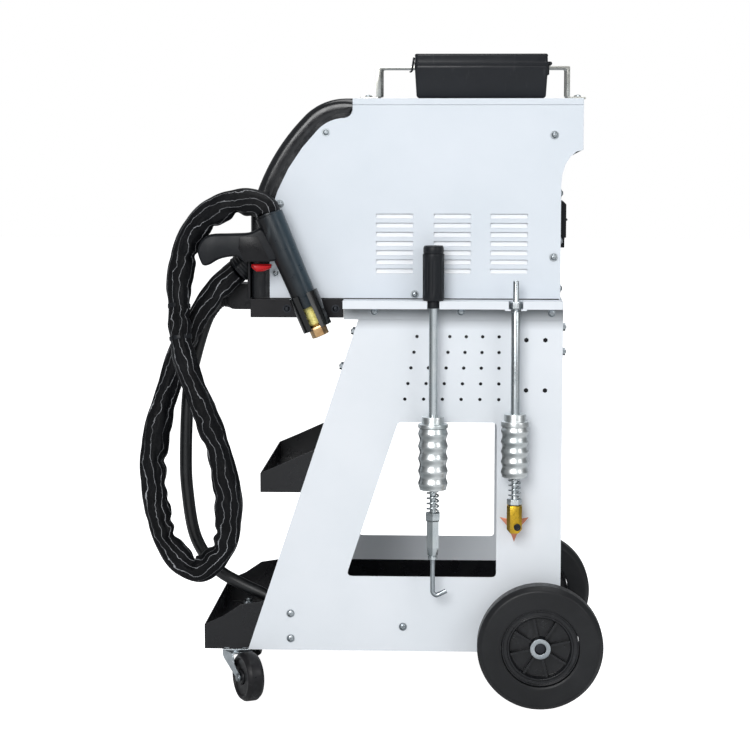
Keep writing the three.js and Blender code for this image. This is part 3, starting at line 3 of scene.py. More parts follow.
import bmesh
import bpy
import numpy as np
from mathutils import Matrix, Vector


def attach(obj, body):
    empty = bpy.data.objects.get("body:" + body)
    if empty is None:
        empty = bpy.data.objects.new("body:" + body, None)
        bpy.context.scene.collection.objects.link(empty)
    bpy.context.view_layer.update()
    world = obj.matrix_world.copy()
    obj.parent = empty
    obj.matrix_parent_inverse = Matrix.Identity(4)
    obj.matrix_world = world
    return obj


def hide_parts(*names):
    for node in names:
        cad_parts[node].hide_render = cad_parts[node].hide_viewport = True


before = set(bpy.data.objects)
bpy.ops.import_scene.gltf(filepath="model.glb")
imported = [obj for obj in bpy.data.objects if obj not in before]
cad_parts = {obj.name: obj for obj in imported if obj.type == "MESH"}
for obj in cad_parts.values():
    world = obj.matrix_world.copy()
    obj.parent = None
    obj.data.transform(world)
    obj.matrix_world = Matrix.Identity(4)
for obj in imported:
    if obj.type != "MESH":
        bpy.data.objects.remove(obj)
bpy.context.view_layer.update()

# The machine's lengths are typed in millimetres from the rear axle, the middle plane and the floor
MM = 0.001
FRAME_SHIFT = 220
NEAR, FAR, UP, REAR = Vector((0, -1, 0)), Vector((0, 1, 0)), Vector((0, 0, 1)), Vector((1, 0, 0))
SIDES = (("near", -1), ("far", 1))
TURN = 2 * math.pi


def at(x, y, z):
    return Vector(((x + FRAME_SHIFT) * MM, y * MM, z * MM))


def own_axes(root, *axes):
    """Turns millimetres along a piece's own axes into places."""
    return lambda *lengths: sum((axis * length * MM for axis, length in zip(axes, lengths)), root)


def linked(name, data):
    made = bpy.data.objects.new(name, data)
    bpy.context.scene.collection.objects.link(made)
    return made


class Nodes:
    """A node tree that is put together node by node."""

    def __init__(self, tree):
        self.tree = tree

    def feed(self, socket, source):
        if isinstance(source, bpy.types.NodeSocket):
            self.tree.links.new(source, socket)
        else:
            socket.default_value = source

    def node(self, kind, links=(), **settings):
        made = self.tree.nodes.new(kind)
        for key, value in settings.items():
            setattr(made, key, value)
        for socket, source in links:
            self.feed(made.inputs[socket], source)
        return made

    def maths(self, operation, first, second=0.0):
        return self.node("ShaderNodeMath", [(0, first), (1, second)], operation=operation).outputs[0]

    def product(self, first, second):
        return self.maths("MULTIPLY", first, second)

    def vector(self, x=0.0, y=0.0, z=0.0):
        return self.node("ShaderNodeCombineXYZ", [(0, x), (1, y), (2, z)]).outputs[0]


# Camera, floor and light, in metres

PICTURE_PIXELS, FOCAL_PIXELS, SENSOR = 750, 2139.52, 36
CAMERA_PLACE = (0.1099, -3.5452, 0.9197)
CAMERA_TILT, CAMERA_PAN = 0.11577, 0.04559
FLOOR_REACH = 14


def studio_camera():
    data = bpy.data.cameras.new("photo_camera")
    data.sensor_width = SENSOR
    data.lens = SENSOR * FOCAL_PIXELS / PICTURE_PIXELS
    data.clip_end = 60
    camera = linked("photo_camera", data)
    camera.location = CAMERA_PLACE
    camera.rotation_euler = (math.pi / 2 - CAMERA_TILT, 0, CAMERA_PAN)
    bpy.context.scene.camera = camera


def soft_box(name, place, target, size, power):
    data = bpy.data.lights.new(name, "AREA")
    data.shape = "RECTANGLE"
    data.size, data.size_y = size
    data.energy = power
    lamp = linked(name, data)
    lamp.location = place
    lamp.rotation_euler = (Vector(target) - Vector(place)).to_track_quat("-Z", "Y").to_euler()


def studio_world():
    """White for the camera and through glass, and a dimmer cool light on the object."""
    world = bpy.data.worlds.new("pale_room")
    world.use_nodes = True
    world.node_tree.nodes.clear()
    sky = Nodes(world.node_tree)
    rays = sky.node("ShaderNodeLightPath").outputs
    seen = sky.maths("MAXIMUM", rays["Is Camera Ray"], rays["Is Transmission Ray"])
    light = sky.node("ShaderNodeBackground", [("Color", (0.94, 0.97, 1, 1)), ("Strength", 0.28)])
    white = sky.node("ShaderNodeBackground", [("Color", (1, 1, 1, 1)), ("Strength", 1)])
    mix = sky.node("ShaderNodeMixShader", [("Fac", seen), (1, light.outputs[0]), (2, white.outputs[0])])
    sky.node("ShaderNodeOutputWorld", [("Surface", mix.outputs[0])])
    bpy.context.scene.world = world


def studio_floor():
    """A pale floor that glows white to the camera alone."""
    mesh = bpy.data.meshes.new("floor")
    corners = [(-1, -1), (1, -1), (1, 1), (-1, 1)]
    mesh.from_pydata([(x * FLOOR_REACH, y * FLOOR_REACH, 0) for x, y in corners], [], [(0, 1, 2, 3)])
    floor = linked("floor", mesh)
    material = bpy.data.materials.new("pale_floor")
    material.use_nodes = True
    material.node_tree.nodes.clear()
    paint = Nodes(material.node_tree)
    rays = paint.node("ShaderNodeLightPath").outputs
    diffuse = paint.node("ShaderNodeBsdfDiffuse", [("Color", (0.86, 0.87, 0.88, 1))])
    glow = paint.node("ShaderNodeEmission", [("Strength", rays["Is Camera Ray"])])
    both = paint.node("ShaderNodeAddShader", [(0, diffuse.outputs[0]), (1, glow.outputs[0])])
    paint.node("ShaderNodeOutputMaterial", [("Surface", both.outputs[0])])
    mesh.materials.append(material)


studio_camera()
studio_world()
studio_floor()
soft_box("key_light", (-1.1, -4.6, 2.6), (0.1, 0, 0.5), (2.4, 2.6), 150)
soft_box("side_light", (2.3, -2.2, 1.7), (0, 0, 0.5), (1.2, 1.6), 15)
soft_box("top_light", (0.2, 0.2, 3.2), (0, 0, 0.5), (2, 2), 38)
bpy.context.scene.view_settings.view_transform = "Standard"

# Finishes


def ink(red, green, blue):
    """A colour as it is read off a picture, as the linear value that a shader takes."""
    def linear(value):
        share = value / 255
        return share / 12.92 if share <= 0.04045 else ((share + 0.055) / 1.055) ** 2.4
    return (linear(red), linear(green), linear(blue), 1)


class Finish(Nodes):
    """A procedural material on the piece's own coordinates."""

    def __init__(self, name, **constants):
        self.material = bpy.data.materials.new(name)
        self.material.use_nodes = True
        super().__init__(self.material.node_tree)
        self.shader = self.tree.nodes["Principled BSDF"]
        for socket, value in constants.items():
            self.shader.inputs[socket.replace("_", " ")].default_value = value
        places = self.node("ShaderNodeTexCoord").outputs
        self.coordinates, self.normals = places["Object"], places["Normal"]

    def parts(self, vector):
        return self.node("ShaderNodeSeparateXYZ", [("Vector", vector)]).outputs

    def stretched(self, scale):
        return self.node("ShaderNodeMapping", [("Vector", self.coordinates), ("Scale", scale)]).outputs[0]

    def noise(self, scale, detail=3, vector=None, roughness=0.5):
        links = [("Vector", vector or self.coordinates), ("Scale", scale), ("Detail", detail)]
        return self.node("ShaderNodeTexNoise", links + [("Roughness", roughness)]).outputs["Fac"]

    def wave(self, scale, vector=None, distortion=0.0, way="X"):
        links = [("Vector", vector or self.coordinates), ("Scale", scale), ("Distortion", distortion)]
        return self.node("ShaderNodeTexWave", links, bands_direction=way).outputs["Fac"]

    def ramp(self, value, low, high, start=0.0, end=1.0):
        links = [("Value", value), ("From Min", low), ("From Max", high), ("To Min", start), ("To Max", end)]
        return self.node("ShaderNodeMapRange", links).outputs[0]

    def cloud(self, scale, detail, low, high, start=0.0, end=1.0):
        return self.ramp(self.noise(scale, detail), low, high, start, end)

    def blend(self, factor, first, second):
        """Mixes two colours, each an output, a picture's colour of three numbers or a shader's of four."""
        first, second = [ink(*c) if isinstance(c, tuple) and len(c) == 3 else c for c in (first, second)]
        return self.node("ShaderNodeMix", [(0, factor), (6, first), (7, second)], data_type="RGBA").outputs[2]

    def coated(self, colour, roughness, *bumps):
        """Colour, roughness, and bumps on bumps: height field, depth in millimetres, strength if not full."""
        self.feed(self.shader.inputs["Base Color"], colour)
        self.feed(self.shader.inputs["Roughness"], roughness)
        before = []
        for height, depth, strength in [(*bump, 1.0)[:3] for bump in bumps]:
            links = [("Height", height), ("Distance", depth * MM), ("Strength", strength)]
            normal = self.node("ShaderNodeBump", links + before).outputs[0]
            self.feed(self.shader.inputs["Normal"], normal)
            before = [("Normal", normal)]
        return self.material


LIP_WALL, LIP_CLEAR = 186, 196
DECK_UNDERSIDE, DECK_FACE = 640, 642


def powder_coat(name, colour, shade, roughness, depth=0.05, shine=0.5, shadow=None):
    """Baked paint with a fine orange peel. Below the deck's lip, over the heights that shadow gives, it takes
    a painted shade.
    """
    finish = Finish(name, Specular_IOR_Level=shine)
    paint = finish.blend(finish.cloud(7, 4, 0.35, 0.65), colour, shade)
    if shadow:
        place = finish.parts(finish.coordinates)
        inside = finish.ramp(finish.maths("ABSOLUTE", place[1]), LIP_WALL * MM, LIP_CLEAR * MM, 1, 0)
        below_deck = finish.ramp(place[2], DECK_UNDERSIDE * MM, DECK_FACE * MM, 1, 0)
        under_lip = finish.product(inside, below_deck)
        fall = finish.ramp(place[2], shadow[0] * MM, shadow[1] * MM)
        # Painted shade: grey mixed into the paint under the lip stands for the deck lip's cast shadow
        paint = finish.blend(finish.product(under_lip, fall), paint, (137, 141, 144))
    return finish.coated(paint, finish.cloud(23, 5, 0.3, 0.7, roughness - 0.05, roughness + 0.08),
                         (finish.noise(620, 2), depth), (finish.noise(2300, 1), depth * 0.4))


def moulded(name, colour, shade, roughness, grain=1500, depth=0.06, shine=0.25):
    """Moulded plastic: spark-eroded grain, handling marks and slight fading."""
    finish = Finish(name, Specular_IOR_Level=shine)
    scuffs = finish.ramp(finish.noise(90, 6, finish.stretched((1, 1, 0.25))), 0.62, 0.78, 0, 0.1)
    body = finish.blend(finish.cloud(11, 5, 0.35, 0.68), colour, shade)
    return finish.coated(finish.blend(scuffs, body, (120, 122, 126)),
                         finish.cloud(60, 4, 0.3, 0.7, roughness - 0.08, roughness + 0.08),
                         (finish.noise(grain, 2), depth))


def gun_casing(name):
    """Blue-black moulding with painted shade: darker on faces turned towards the grip and lighter on faces
    turned away, with light scratches.
    """
    finish = Finish(name, Specular_IOR_Level=0.35)
    across = finish.parts(finish.normals)[0]
    # Painted light and shade by which way a face turns
    turn = finish.ramp(finish.maths("ADD", across, finish.product(finish.noise(30, 4), 0.3)), -0.35, 0.95)
    scratches = finish.ramp(finish.noise(70, 5, finish.stretched((1, 1, 0.12))), 0.62, 0.75, 0, 0.12)
    body = finish.blend(turn, (16, 17, 20), (42, 56, 65))
    return finish.coated(finish.blend(scratches, body, (130, 140, 146)),
                         finish.cloud(60, 4, 0.3, 0.7, 0.26, 0.42), (finish.noise(1300, 2), 0.03))


def clouded(name, colour, shade, drift, wear, *grains, **constants):
    """A material whose colour and roughness are clouds, over grains of noise by scale, detail and depth."""
    finish = Finish(name, **constants)
    return finish.coated(finish.blend(finish.cloud(*drift), colour, shade), finish.cloud(*wear),
                         *[(finish.noise(scale, detail), depth) for scale, detail, depth in grains])


def rubber(name, colour, dust, roughness):
    """Pitted rubber under a film of dust."""
    wear = (130, 3, 0.3, 0.7, roughness - 0.08, roughness + 0.1)
    return clouded(name, colour, dust, (16, 6, 0.42, 0.72), wear, (1100, 3, 0.08), (45, 3, 0.25),
                   Specular_IOR_Level=0.28)


def plated(name, colour, shade, roughness, lay=(1, 1, 1), marks=300, depth=0.02, reflection_bands=0.0, under=0.0,
           metallic=1.0):
    """Plated metal: cloudy plating and tool marks, with painted reflections as dark bands by the way a face
    turns, and painted shade on faces turned down.
    """
    finish = Finish(name, Metallic=metallic)
    plating = finish.blend(finish.cloud(38, 5, 0.32, 0.68), colour, shade)
    if reflection_bands or under:
        facing = finish.parts(finish.normals)
        across = finish.maths("ADD", finish.product(facing[0], 3.4), finish.product(facing[2], 2.2))
        band = finish.ramp(finish.maths("SINE", finish.maths("ADD", across, 0.6)), -0.9, 0.6, 1 - reflection_bands, 1)
        below = finish.ramp(facing[2], -0.5, 0.25, 1 - under, 1)
        # Painted reflection and painted shade mixed into the plating's colour
        plating = finish.blend(finish.product(band, below), (52, 60, 62), plating)
    lines = finish.noise(marks, 3, finish.stretched(lay))
    worn = finish.ramp(lines, 0.3, 0.7, roughness - 0.06, roughness + 0.1)
    return finish.coated(plating, worn, (lines, depth))


def striped_sleeve(name):
    """Woven black sleeve with fine pale stripes along it, and short floats of thread across."""
    finish = Finish(name, Specular_IOR_Level=0.12, Sheen_Weight=0.02, Sheen_Roughness=0.5,
                    Sheen_Tint=ink(190, 196, 205))
    uv = finish.parts(finish.node("ShaderNodeUVMap", uv_map="sleeve").outputs[0])
    round_share, metres = uv[0], uv[1]
    wander = finish.cloud(21, 5, 0.3, 0.7, -0.06, 0.06)
    place = finish.maths("FRACT", finish.product(finish.maths("ADD", round_share, wander), 9))
    off = finish.maths("ABSOLUTE", finish.maths("SUBTRACT", place, 0.5))
    stripe = finish.ramp(off, 0.018, 0.044, 1, 0)
    thread = finish.wave(260.0, finish.vector(metres))
    broken = finish.product(stripe, finish.ramp(thread, 0.1, 0.6, 0.6, 1))
    faded = finish.product(broken, finish.cloud(22, 4, 0.35, 0.65, 0.3, 1))
    cloth = finish.blend(finish.cloud(30, 4, 0.3, 0.7), (4, 5, 7), (13, 14, 17))
    weave = finish.product(thread, finish.wave(24.0, finish.vector(round_share)))
    striped = finish.blend(faded, cloth, (176, 178, 182))
    return finish.coated(striped, finish.cloud(50, 3, 0.3, 0.7, 0.34, 0.5), (weave, 0.22),
                         (finish.noise(42, 5, roughness=0.6), 3.2, 0.9), (finish.noise(19, 3), 9, 0.8))


def layered(name, colour, shade, drift, wave, wear, depth, **constants):
    """Metal in turns or sheets: even waves, which are rougher where they stand up."""
    finish = Finish(name, **constants)
    layers = finish.wave(**wave)
    return finish.coated(finish.blend(finish.cloud(*drift), colour, shade), finish.ramp(layers, 0, 1, *wear),
                         (layers, depth))


def lit_segments(name, colour):
    finish = Finish(name, Emission_Strength=0.8)
    dimmer = tuple(c * 0.8 for c in ink(*colour)[:3]) + (1,)
    source = finish.blend(finish.cloud(300, 2, 0.3, 0.7), colour, dimmer)
    for socket in ("Base Color", "Emission Color"):
        finish.feed(finish.shader.inputs[socket], source)
    return finish.material


# PALE is the panel paint made a little darker: painted shade that evens out the stronger light on the cabinet
PALE = powder_coat("pale_grey_paint", (219, 225, 232), (214, 221, 228), 0.5, 0.05, 0.25)
# The side panels' paint carries painted shade under the deck's lip, between 600 and 630 mm high
PANEL_PAINT = powder_coat("panel_paint", (228, 232, 237), (223, 228, 233), 0.5, 0.05, 0.25, (600, 630))
# The louvre blades take a lighter copy of the pale paint: a painted highlight where they catch the light
LIT_LOUVRE_PAINT = powder_coat("louvre_paint", (250, 252, 255), (246, 249, 253), 0.32)
BLACK_PAINT = powder_coat("black_paint", (24, 23, 26), (16, 16, 19), 0.34, 0.06, 0.26)
TRAY_PAINT = powder_coat("tray_paint", (17, 18, 22), (11, 12, 16), 0.28, 0.04, 0.42)
GUARD_PAINT = powder_coat("glossy_black_paint", (9, 11, 12), (5, 7, 8), 0.14, 0.03, 0.5)
BLACK_PLASTIC = moulded("black_plastic", (25, 26, 29), (18, 19, 22), 0.34)
BEZEL_PLASTIC = moulded("bezel_plastic", (24, 25, 28), (18, 19, 22), 0.2, 1700, 0.02, 0.55)
BOX_PLASTIC = moulded("tool_box_plastic", (27, 30, 35), (18, 20, 25), 0.36, 900, 0.012, 0.3)
HOUSING_PLASTIC = moulded("switch_housing_plastic", (18, 18, 21), (12, 12, 15), 0.3, 1300, 0.03)
GUN_PLASTIC = gun_casing("gun_plastic")
GRIP_RUBBER = moulded("grip_rubber", (25, 28, 32), (17, 19, 23), 0.44, 1100)
GREY_PLASTIC = moulded("control_panel_grey", (74, 77, 81), (66, 69, 73), 0.46)
RED_PLASTIC = moulded("red_plastic", (196, 28, 34), (178, 24, 30), 0.34, 1200, 0.03)
LEGEND = powder_coat("pale_legend", (206, 209, 213), (190, 193, 198), 0.5, 0.02)
TYRE = rubber("tyre_rubber", (27, 28, 30), (35, 36, 38), 0.4)
CASTER_RUBBER = rubber("caster_rubber", (20, 20, 22), (38, 38, 41), 0.34)
RIM = moulded("rim_plastic", (26, 27, 30), (18, 19, 22), 0.32, 700, 0.08, 0.4)
ZINC = plated("bright_zinc", (204, 211, 215), (174, 182, 188), 0.3, reflection_bands=0.5, under=0.55)
FORK_ZINC = plated("fork_zinc", (230, 238, 243), (198, 208, 215), 0.3, reflection_bands=0.3, under=0.35)
ROD_STEEL = plated("plated_rod", (244, 250, 252), (222, 231, 235), 0.26, (1, 1, 0.05), 420,
                   reflection_bands=0.62, under=0.5)
WEIGHT_STEEL = plated("turned_weight", (252, 255, 255), (232, 240, 241), 0.34, (0.1, 0.1, 3), 360,
                      reflection_bands=0.55, under=0.5)
DARK_STEEL = plated("blackened_steel", (60, 62, 66), (44, 46, 50), 0.4)
STAINLESS = plated("brushed_stainless", (208, 208, 202), (188, 188, 182), 0.3, (0.04, 1, 1), 700, 0.015)
BRASS = plated("brass", (222, 184, 62), (204, 160, 44), 0.3, reflection_bands=0.5)
# The chuck's brass is light and nearly without metal so that it shows bright yellow: a painted highlight
CHUCK_BRASS = plated("chuck_brass", (255, 246, 158), (255, 232, 120), 0.3, metallic=0.1)
BRONZE = plated("electrode_bronze", (214, 182, 136), (182, 142, 98), 0.34, reflection_bands=0.4)
COPPER = plated("copper", (206, 140, 114), (186, 116, 92), 0.34)
SLEEVE = striped_sleeve("striped_sleeve")
CABLE = clouded("cable_rubber", (9, 11, 13), (15, 18, 21), (34, 4, 0.35, 0.65), (70, 4, 0.3, 0.7, 0.3, 0.46),
                (480, 3, 0.05), Specular_IOR_Level=0.5)
WINDING = layered("wound_wire", (150, 84, 44), (110, 58, 32), (40, 3, 0.3, 0.7),
                  {"scale": 60.0, "distortion": 0.4, "way": "Z"}, (0.3, 0.5), 0.8,
                  Metallic=0.4, Coat_Weight=0.5)
CORE = layered("core_laminations", (88, 90, 94), (60, 60, 64), (30, 4, 0.3, 0.7),
               {"scale": 160.0, "way": "Y"}, (0.4, 0.65), 0.2, Metallic=0.7)
SCREEN = clouded("display_glass", (18, 24, 30), (26, 32, 40), (20, 3, 0.3, 0.7),
                 (160, 4, 0.4, 0.7, 0.07, 0.16), Specular_IOR_Level=0.6, Coat_Weight=0.6)
SEGMENTS = lit_segments("display_segments", (232, 60, 44))

# Making pieces


def mesh_of(solid):
    bmesh.ops.recalc_face_normals(solid, faces=solid.faces)
    mesh = bpy.data.meshes.new("piece")
    solid.to_mesh(mesh)
    solid.free()
    return mesh


def finished(name, shape, material, body="trolley", sharp=35, nodes=()):
    """Puts a shape into the scene as one piece that rides on a body and may stand for CAD nodes."""
    mesh = mesh_of(shape) if isinstance(shape, bmesh.types.BMesh) else shape
    mesh.name = name
    mesh.materials.clear()
    mesh.materials.append(material)
    mesh.shade_smooth()
    mesh.set_sharp_from_angle(angle=math.radians(sharp))
    made = linked(name, mesh)
    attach(made, body)
    if nodes:
        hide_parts(*nodes)
    return made


def dressed(node, shape, material, body="trolley", sharp=35):
    """A piece that stands for one CAD node."""
    return finished(node + "_finished", shape, material, body, sharp, [node])


def rounded_edges(solid, width, steps=2, least_turn=30):
    least = math.radians(least_turn)
    edges = [e for e in solid.edges if len(e.link_faces) == 2 and e.calc_face_angle() > least]
    bmesh.ops.bevel(solid, geom=edges, offset=width * MM, segments=steps, profile=0.5, affect="EDGES",
                    clamp_overlap=True)
    return solid


def skinned(rings, closed=False, first_way=-1):
    """A skin over rings, capped or closed from last to first. A ring of one point is a pole."""
    solid = bmesh.new()
    made = [[solid.verts.new(point) for point in ring] for ring in rings]
    if not closed and len(made[0]) > 1:
        solid.faces.new(made[0][::first_way])
        solid.faces.new(made[-1])
    for low, high in list(zip(made, made[1:])) + ([(made[-1], made[0])] if closed else []):
        count = max(len(low), len(high))
        for k in range(count):
            n = (k + 1) % count
            if len(low) == 1:
                solid.faces.new((low[0], high[n], high[k]))
            elif len(high) == 1:
                solid.faces.new((low[k], low[n], high[0]))
            else:
                solid.faces.new((low[k], low[n], high[n], high[k]))
    return solid


def prism(low, high, width=0.0, steps=2):
    """A block between two rings, with its edges rounded."""
    solid = skinned([low, high])
    bmesh.ops.recalc_face_normals(solid, faces=solid.faces)
    return rounded_edges(solid, width, steps) if width else solid


def plate(outline, ys, width=0.0, steps=2):
    """A flat outline in X and Z, drawn across Y."""
    low, high = [[at(x, y, z) for x, z in outline] for y in ys]
    return prism(low, high, width, steps)


def block(x0, x1, ys, z0, z1, width):
    return plate([(x0, z0), (x1, z0), (x1, z1), (x0, z1)], ys, width)


def on_side(side, inner, outer):
    return sorted((side * inner, side * outer))


def filleted(points, radius, steps=3, closed=False):
    """Rounds the corners of a run of points by a radius, or by as much as the sides allow."""
    flat = [Vector(p) for p in points]
    count = len(flat)
    out = []
    for i, corner in enumerate(flat):
        back = flat[i - 1] - corner
        ahead = flat[(i + 1) % count] - corner
        turn = math.pi - back.angle(ahead) if back.length and ahead.length else 0
        if turn < 0.15 or not closed and i in (0, count - 1):
            out.append(corner)
            continue
        cut = min(radius * math.tan(turn / 2), back.length * 0.45, ahead.length * 0.45)
        start = corner + back.normalized() * cut
        end = corner + ahead.normalized() * cut
        for k in range(steps + 1):
            t = k / steps
            out.append(start * (1 - t) ** 2 + corner * 2 * t * (1 - t) + end * t * t)
    return out


def mirrored(points):
    """A half profile and its image at the other side of the middle."""
    return points + [(radius, -height) for radius, height in points[::-1]]


def turned(profile, origin, axis, segments=48, shape=None):
    """A lathe piece, a ring if its profile is off the axis. Shape may change the radius round the axis."""
    axis = Vector(axis).normalized()
    side = Vector((0, 1, 0)) if abs(axis.y) < 0.9 else Vector((1, 0, 0))
    side = (side - axis * side.dot(axis)).normalized()
    other = axis.cross(side)
    rings = []
    for radius, height in profile:
        centre = origin + axis * height * MM
        ring = []
        for k in range(segments if radius > 0 else 1):
            angle = TURN * k / segments
            reach = radius * (shape(angle, height) if shape else 1) * MM
            ring.append(centre + side * math.cos(angle) * reach + other * math.sin(angle) * reach)
        rings.append(ring)
    return skinned(rings, closed=profile[0][0] > 0)


def lathe(points, radius, origin, axis, segments=48, steps=3, shape=None):
    """A lathe piece from corners that are rounded by a radius."""
    return turned(filleted(points, radius, steps, closed=points[0][0] > 0), origin, axis, segments, shape)


def wire_ring(radius, height, half_wide, half_high, sides):
    """The oval section of a ring round an axis."""
    angles = np.linspace(0, TURN, sides + 1)[:-1]
    return [(radius + half_wide * math.cos(a), height + half_high * math.sin(a)) for a in angles]


def pillow(outline, middle, half, roundness, steps):
    """An outline in X and Z drawn across Y, with both faces rounded like a handle's."""
    points = [Vector(p) for p in outline]
    count = len(points)
    area = sum(a.x * b.y - b.x * a.y for a, b in zip(points, points[1:] + points[:1]))
    inward = []
    for i in range(count):
        tangent = points[(i + 1) % count] - points[i - 1]
        normal = Vector((-tangent.y, tangent.x)).normalized()
        inward.append(normal if area > 0 else -normal)
    rings = []
    for k in range(2 * steps + 1):
        angle = -math.pi / 2 + math.pi * k / (2 * steps)
        inset = roundness * (1 - math.cos(angle))
        y = middle + half * (abs(math.sin(angle)) ** 0.8) * (1 if angle > 0 else -1)
        rings.append([at(p.x + n.x * inset, y, p.y + n.y * inset) for p, n in zip(points, inward)])
    return skinned(rings, first_way=1)


def spline(a, b, c, d, steps):
    """Points from B up to C on the smooth curve through four points."""
    for k in range(steps):
        t = k / steps
        square, cube = 2 * a - 5 * b + 4 * c - d, 3 * b - a - 3 * c + d
        yield 0.5 * (2 * b + (c - a) * t + square * t * t + cube * t ** 3)


def smooth_loop(points, steps):
    """A closed smooth curve through typed points."""
    flat = [Vector(p) for p in points]
    after, next_after = flat[1:] + flat[:1], flat[2:] + flat[:2]
    return [p for four in zip(flat[-1:] + flat, flat, after, next_after) for p in spline(*four, steps)]


def joined(*solids):
    """Several closed bodies as one solid."""
    whole = bmesh.new()
    for solid in solids:
        mesh = solid if isinstance(solid, bpy.types.Mesh) else mesh_of(solid)
        whole.from_mesh(mesh)
        bpy.data.meshes.remove(mesh)
    return whole


def pressed_sheet(node, width, steps=2):
    """A copy of a CAD node with its shared corners merged and its sharp edges rolled over."""
    solid = bmesh.new()
    solid.from_mesh(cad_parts[node].data)
    bmesh.ops.remove_doubles(solid, verts=solid.verts, dist=1e-5)
    bmesh.ops.dissolve_limit(solid, angle_limit=math.radians(0.5), verts=solid.verts, edges=solid.edges)
    return rounded_edges(solid, width, steps)


def settled(made):
    """Keeps the shading of big flat faces flat, so that only the rolled edges shade as round."""
    modifier = made.modifiers.new("flat_faces", "WEIGHTED_NORMAL")
    modifier.keep_sharp = True
    modifier.weight = 100
    mesh = bpy.data.meshes.new_from_object(made.evaluated_get(bpy.context.evaluated_depsgraph_get()))
    mesh.name = made.name
    made.modifiers.clear()
    made.data = mesh
    return made


def rolled(node, width, material, steps=2, sharp=35, body="trolley"):
    return settled(dressed(node, pressed_sheet(node, width, steps), material, body, sharp))


def swept(points, radius, sides, uv=None):
    """A tube along points. Radius is a number in millimetres or a function of length, angle and bend."""
    path = np.array([list(p) for p in points], float)
    run = np.concatenate([[0], np.cumsum(np.linalg.norm(np.diff(path, axis=0), axis=1))])
    tangent = np.gradient(path, axis=0)
    tangent /= np.linalg.norm(tangent, axis=1)[:, None]
    bend = np.gradient(tangent, axis=0) / np.maximum(np.gradient(run), 1e-6)[:, None]
    side = np.zeros_like(path)
    start = np.array([0.0, 1.0, 0.0]) if abs(tangent[0][1]) < 0.9 else np.array([1.0, 0.0, 0.0])
    for i in range(len(path)):
        ahead = start if i == 0 else side[i - 1]
        ahead = ahead - tangent[i] * ahead.dot(tangent[i])
        side[i] = ahead / np.linalg.norm(ahead)
    other = np.cross(tangent, side)
    vertices = []
    for i in range(len(path)):
        for k in range(sides):
            angle = TURN * k / sides
            way = side[i] * math.cos(angle) + other[i] * math.sin(angle)
            reach = radius(run[i], angle, float(way.dot(bend[i]))) if callable(radius) else radius
            vertices.append(tuple(path[i] + way * reach * MM))
    last = (len(path) - 1) * sides
    faces = []
    for low in range(0, last, sides):
        for k in range(sides):
            n = (k + 1) % sides
            faces.append((low + k, low + n, low + sides + n, low + sides + k))
    mesh = bpy.data.meshes.new("tube")
    mesh.from_pydata(vertices, [], faces + [tuple(range(sides))[::-1], tuple(range(last, last + sides))])
    if uv:
        layer = mesh.uv_layers.new(name=uv)
        for face in mesh.polygons[:len(faces)]:
            i, k = divmod(face.index, sides)
            left, right = k / sides, (k + 1) / sides
            places = [(left, run[i]), (right, run[i]), (right, run[i + 1]), (left, run[i + 1])]
            for loop, place in zip(face.loop_indices, places):
                layer.data[loop].uv = place
    return mesh


def curve_through(points, spacing):
    """Even steps, spaced in millimetres, along the smooth curve that the solid follows through the points."""
    flat = [Vector(p) for p in points]
    ends = [flat[0] * 2 - flat[1]] + flat + [flat[-1] * 2 - flat[-2]]
    dense = [p for four in zip(ends, ends[1:], ends[2:], ends[3:]) for p in spline(*four, 24)]
    path = np.array([list(p) for p in dense + flat[-1:]])
    run = np.concatenate([[0], np.cumsum(np.linalg.norm(np.diff(path, axis=0), axis=1))])
    count = max(int(round(run[-1] / (spacing * MM))), 8)
    even = np.linspace(0, run[-1], count + 1)
    return [Vector([np.interp(s, run, path[:, axis]) for axis in range(3)]) for s in even]


def length_of(points):
    return sum((b - a).length for a, b in zip(points, points[1:]))


def clipped(value, low=0, high=1):
    return min(max(value, low), high)


# Patterns for repeated parts


class Pattern(Nodes):
    """A geometry node tree for repeated parts. Its inputs are lengths, others by kind, and a finish."""

    def __init__(self, name, *lengths, **others):
        super().__init__(bpy.data.node_groups.new(name, "GeometryNodeTree"))
        self.tree.is_modifier = True
        self.lengths = lengths
        self.socket("Geometry", "Geometry")
        self.socket("Geometry", "Geometry", "OUTPUT")
        kinds = {**dict.fromkeys(lengths, "Float"), **others, "Finish": "Material"}
        self.keys = {label: self.socket(label, kind) for label, kind in kinds.items()}
        self.start = self.tree.nodes.new("NodeGroupInput")
        self.end = self.tree.nodes.new("NodeGroupOutput")

    def __getitem__(self, label):
        return self.start.outputs[label]

    def socket(self, label, kind, way="INPUT"):
        kind = "NodeSocket" + kind
        return self.tree.interface.new_socket(label, in_out=way, socket_type=kind).identifier

    def shape(self, kind, **links):
        return self.node("GeometryNodeMesh" + kind, links.items()).outputs[0]

    def moved(self, geometry, translation=(0, 0, 0), rotation=(0, 0, 0), scale=(1, 1, 1)):
        links = {"Geometry": geometry, "Translation": translation, "Rotation": rotation, "Scale": scale}
        return self.node("GeometryNodeTransform", links.items()).outputs[0]

    def merged(self, *geometries):
        join = self.node("GeometryNodeJoinGeometry", [(0, geometry) for geometry in geometries])
        return join.outputs[0]

    def copies(self, points, part, **links):
        links = {"Points": points, "Instance": part, **links}
        return self.node("GeometryNodeInstanceOnPoints", links.items()).outputs[0]

    def facing_copies(self, part):
        """One part at each point, with its Z axis along the point's facing."""
        facing = self.node("GeometryNodeInputNamedAttribute", [("Name", "facing")], data_type="FLOAT_VECTOR")
        links = [("Vector", facing.outputs[0])]
        turn = self.node("FunctionNodeAlignRotationToVector", links, axis="Z").outputs[0]
        return self.copies(self["Geometry"], part, Rotation=turn)

    def finish(self, instances):
        real = self.node("GeometryNodeRealizeInstances", [("Geometry", instances)]).outputs[0]
        coat = self.node("GeometryNodeSetMaterial", [("Geometry", real), ("Material", self["Finish"])])
        self.tree.links.new(coat.outputs[0], self.end.inputs[0])
        return self


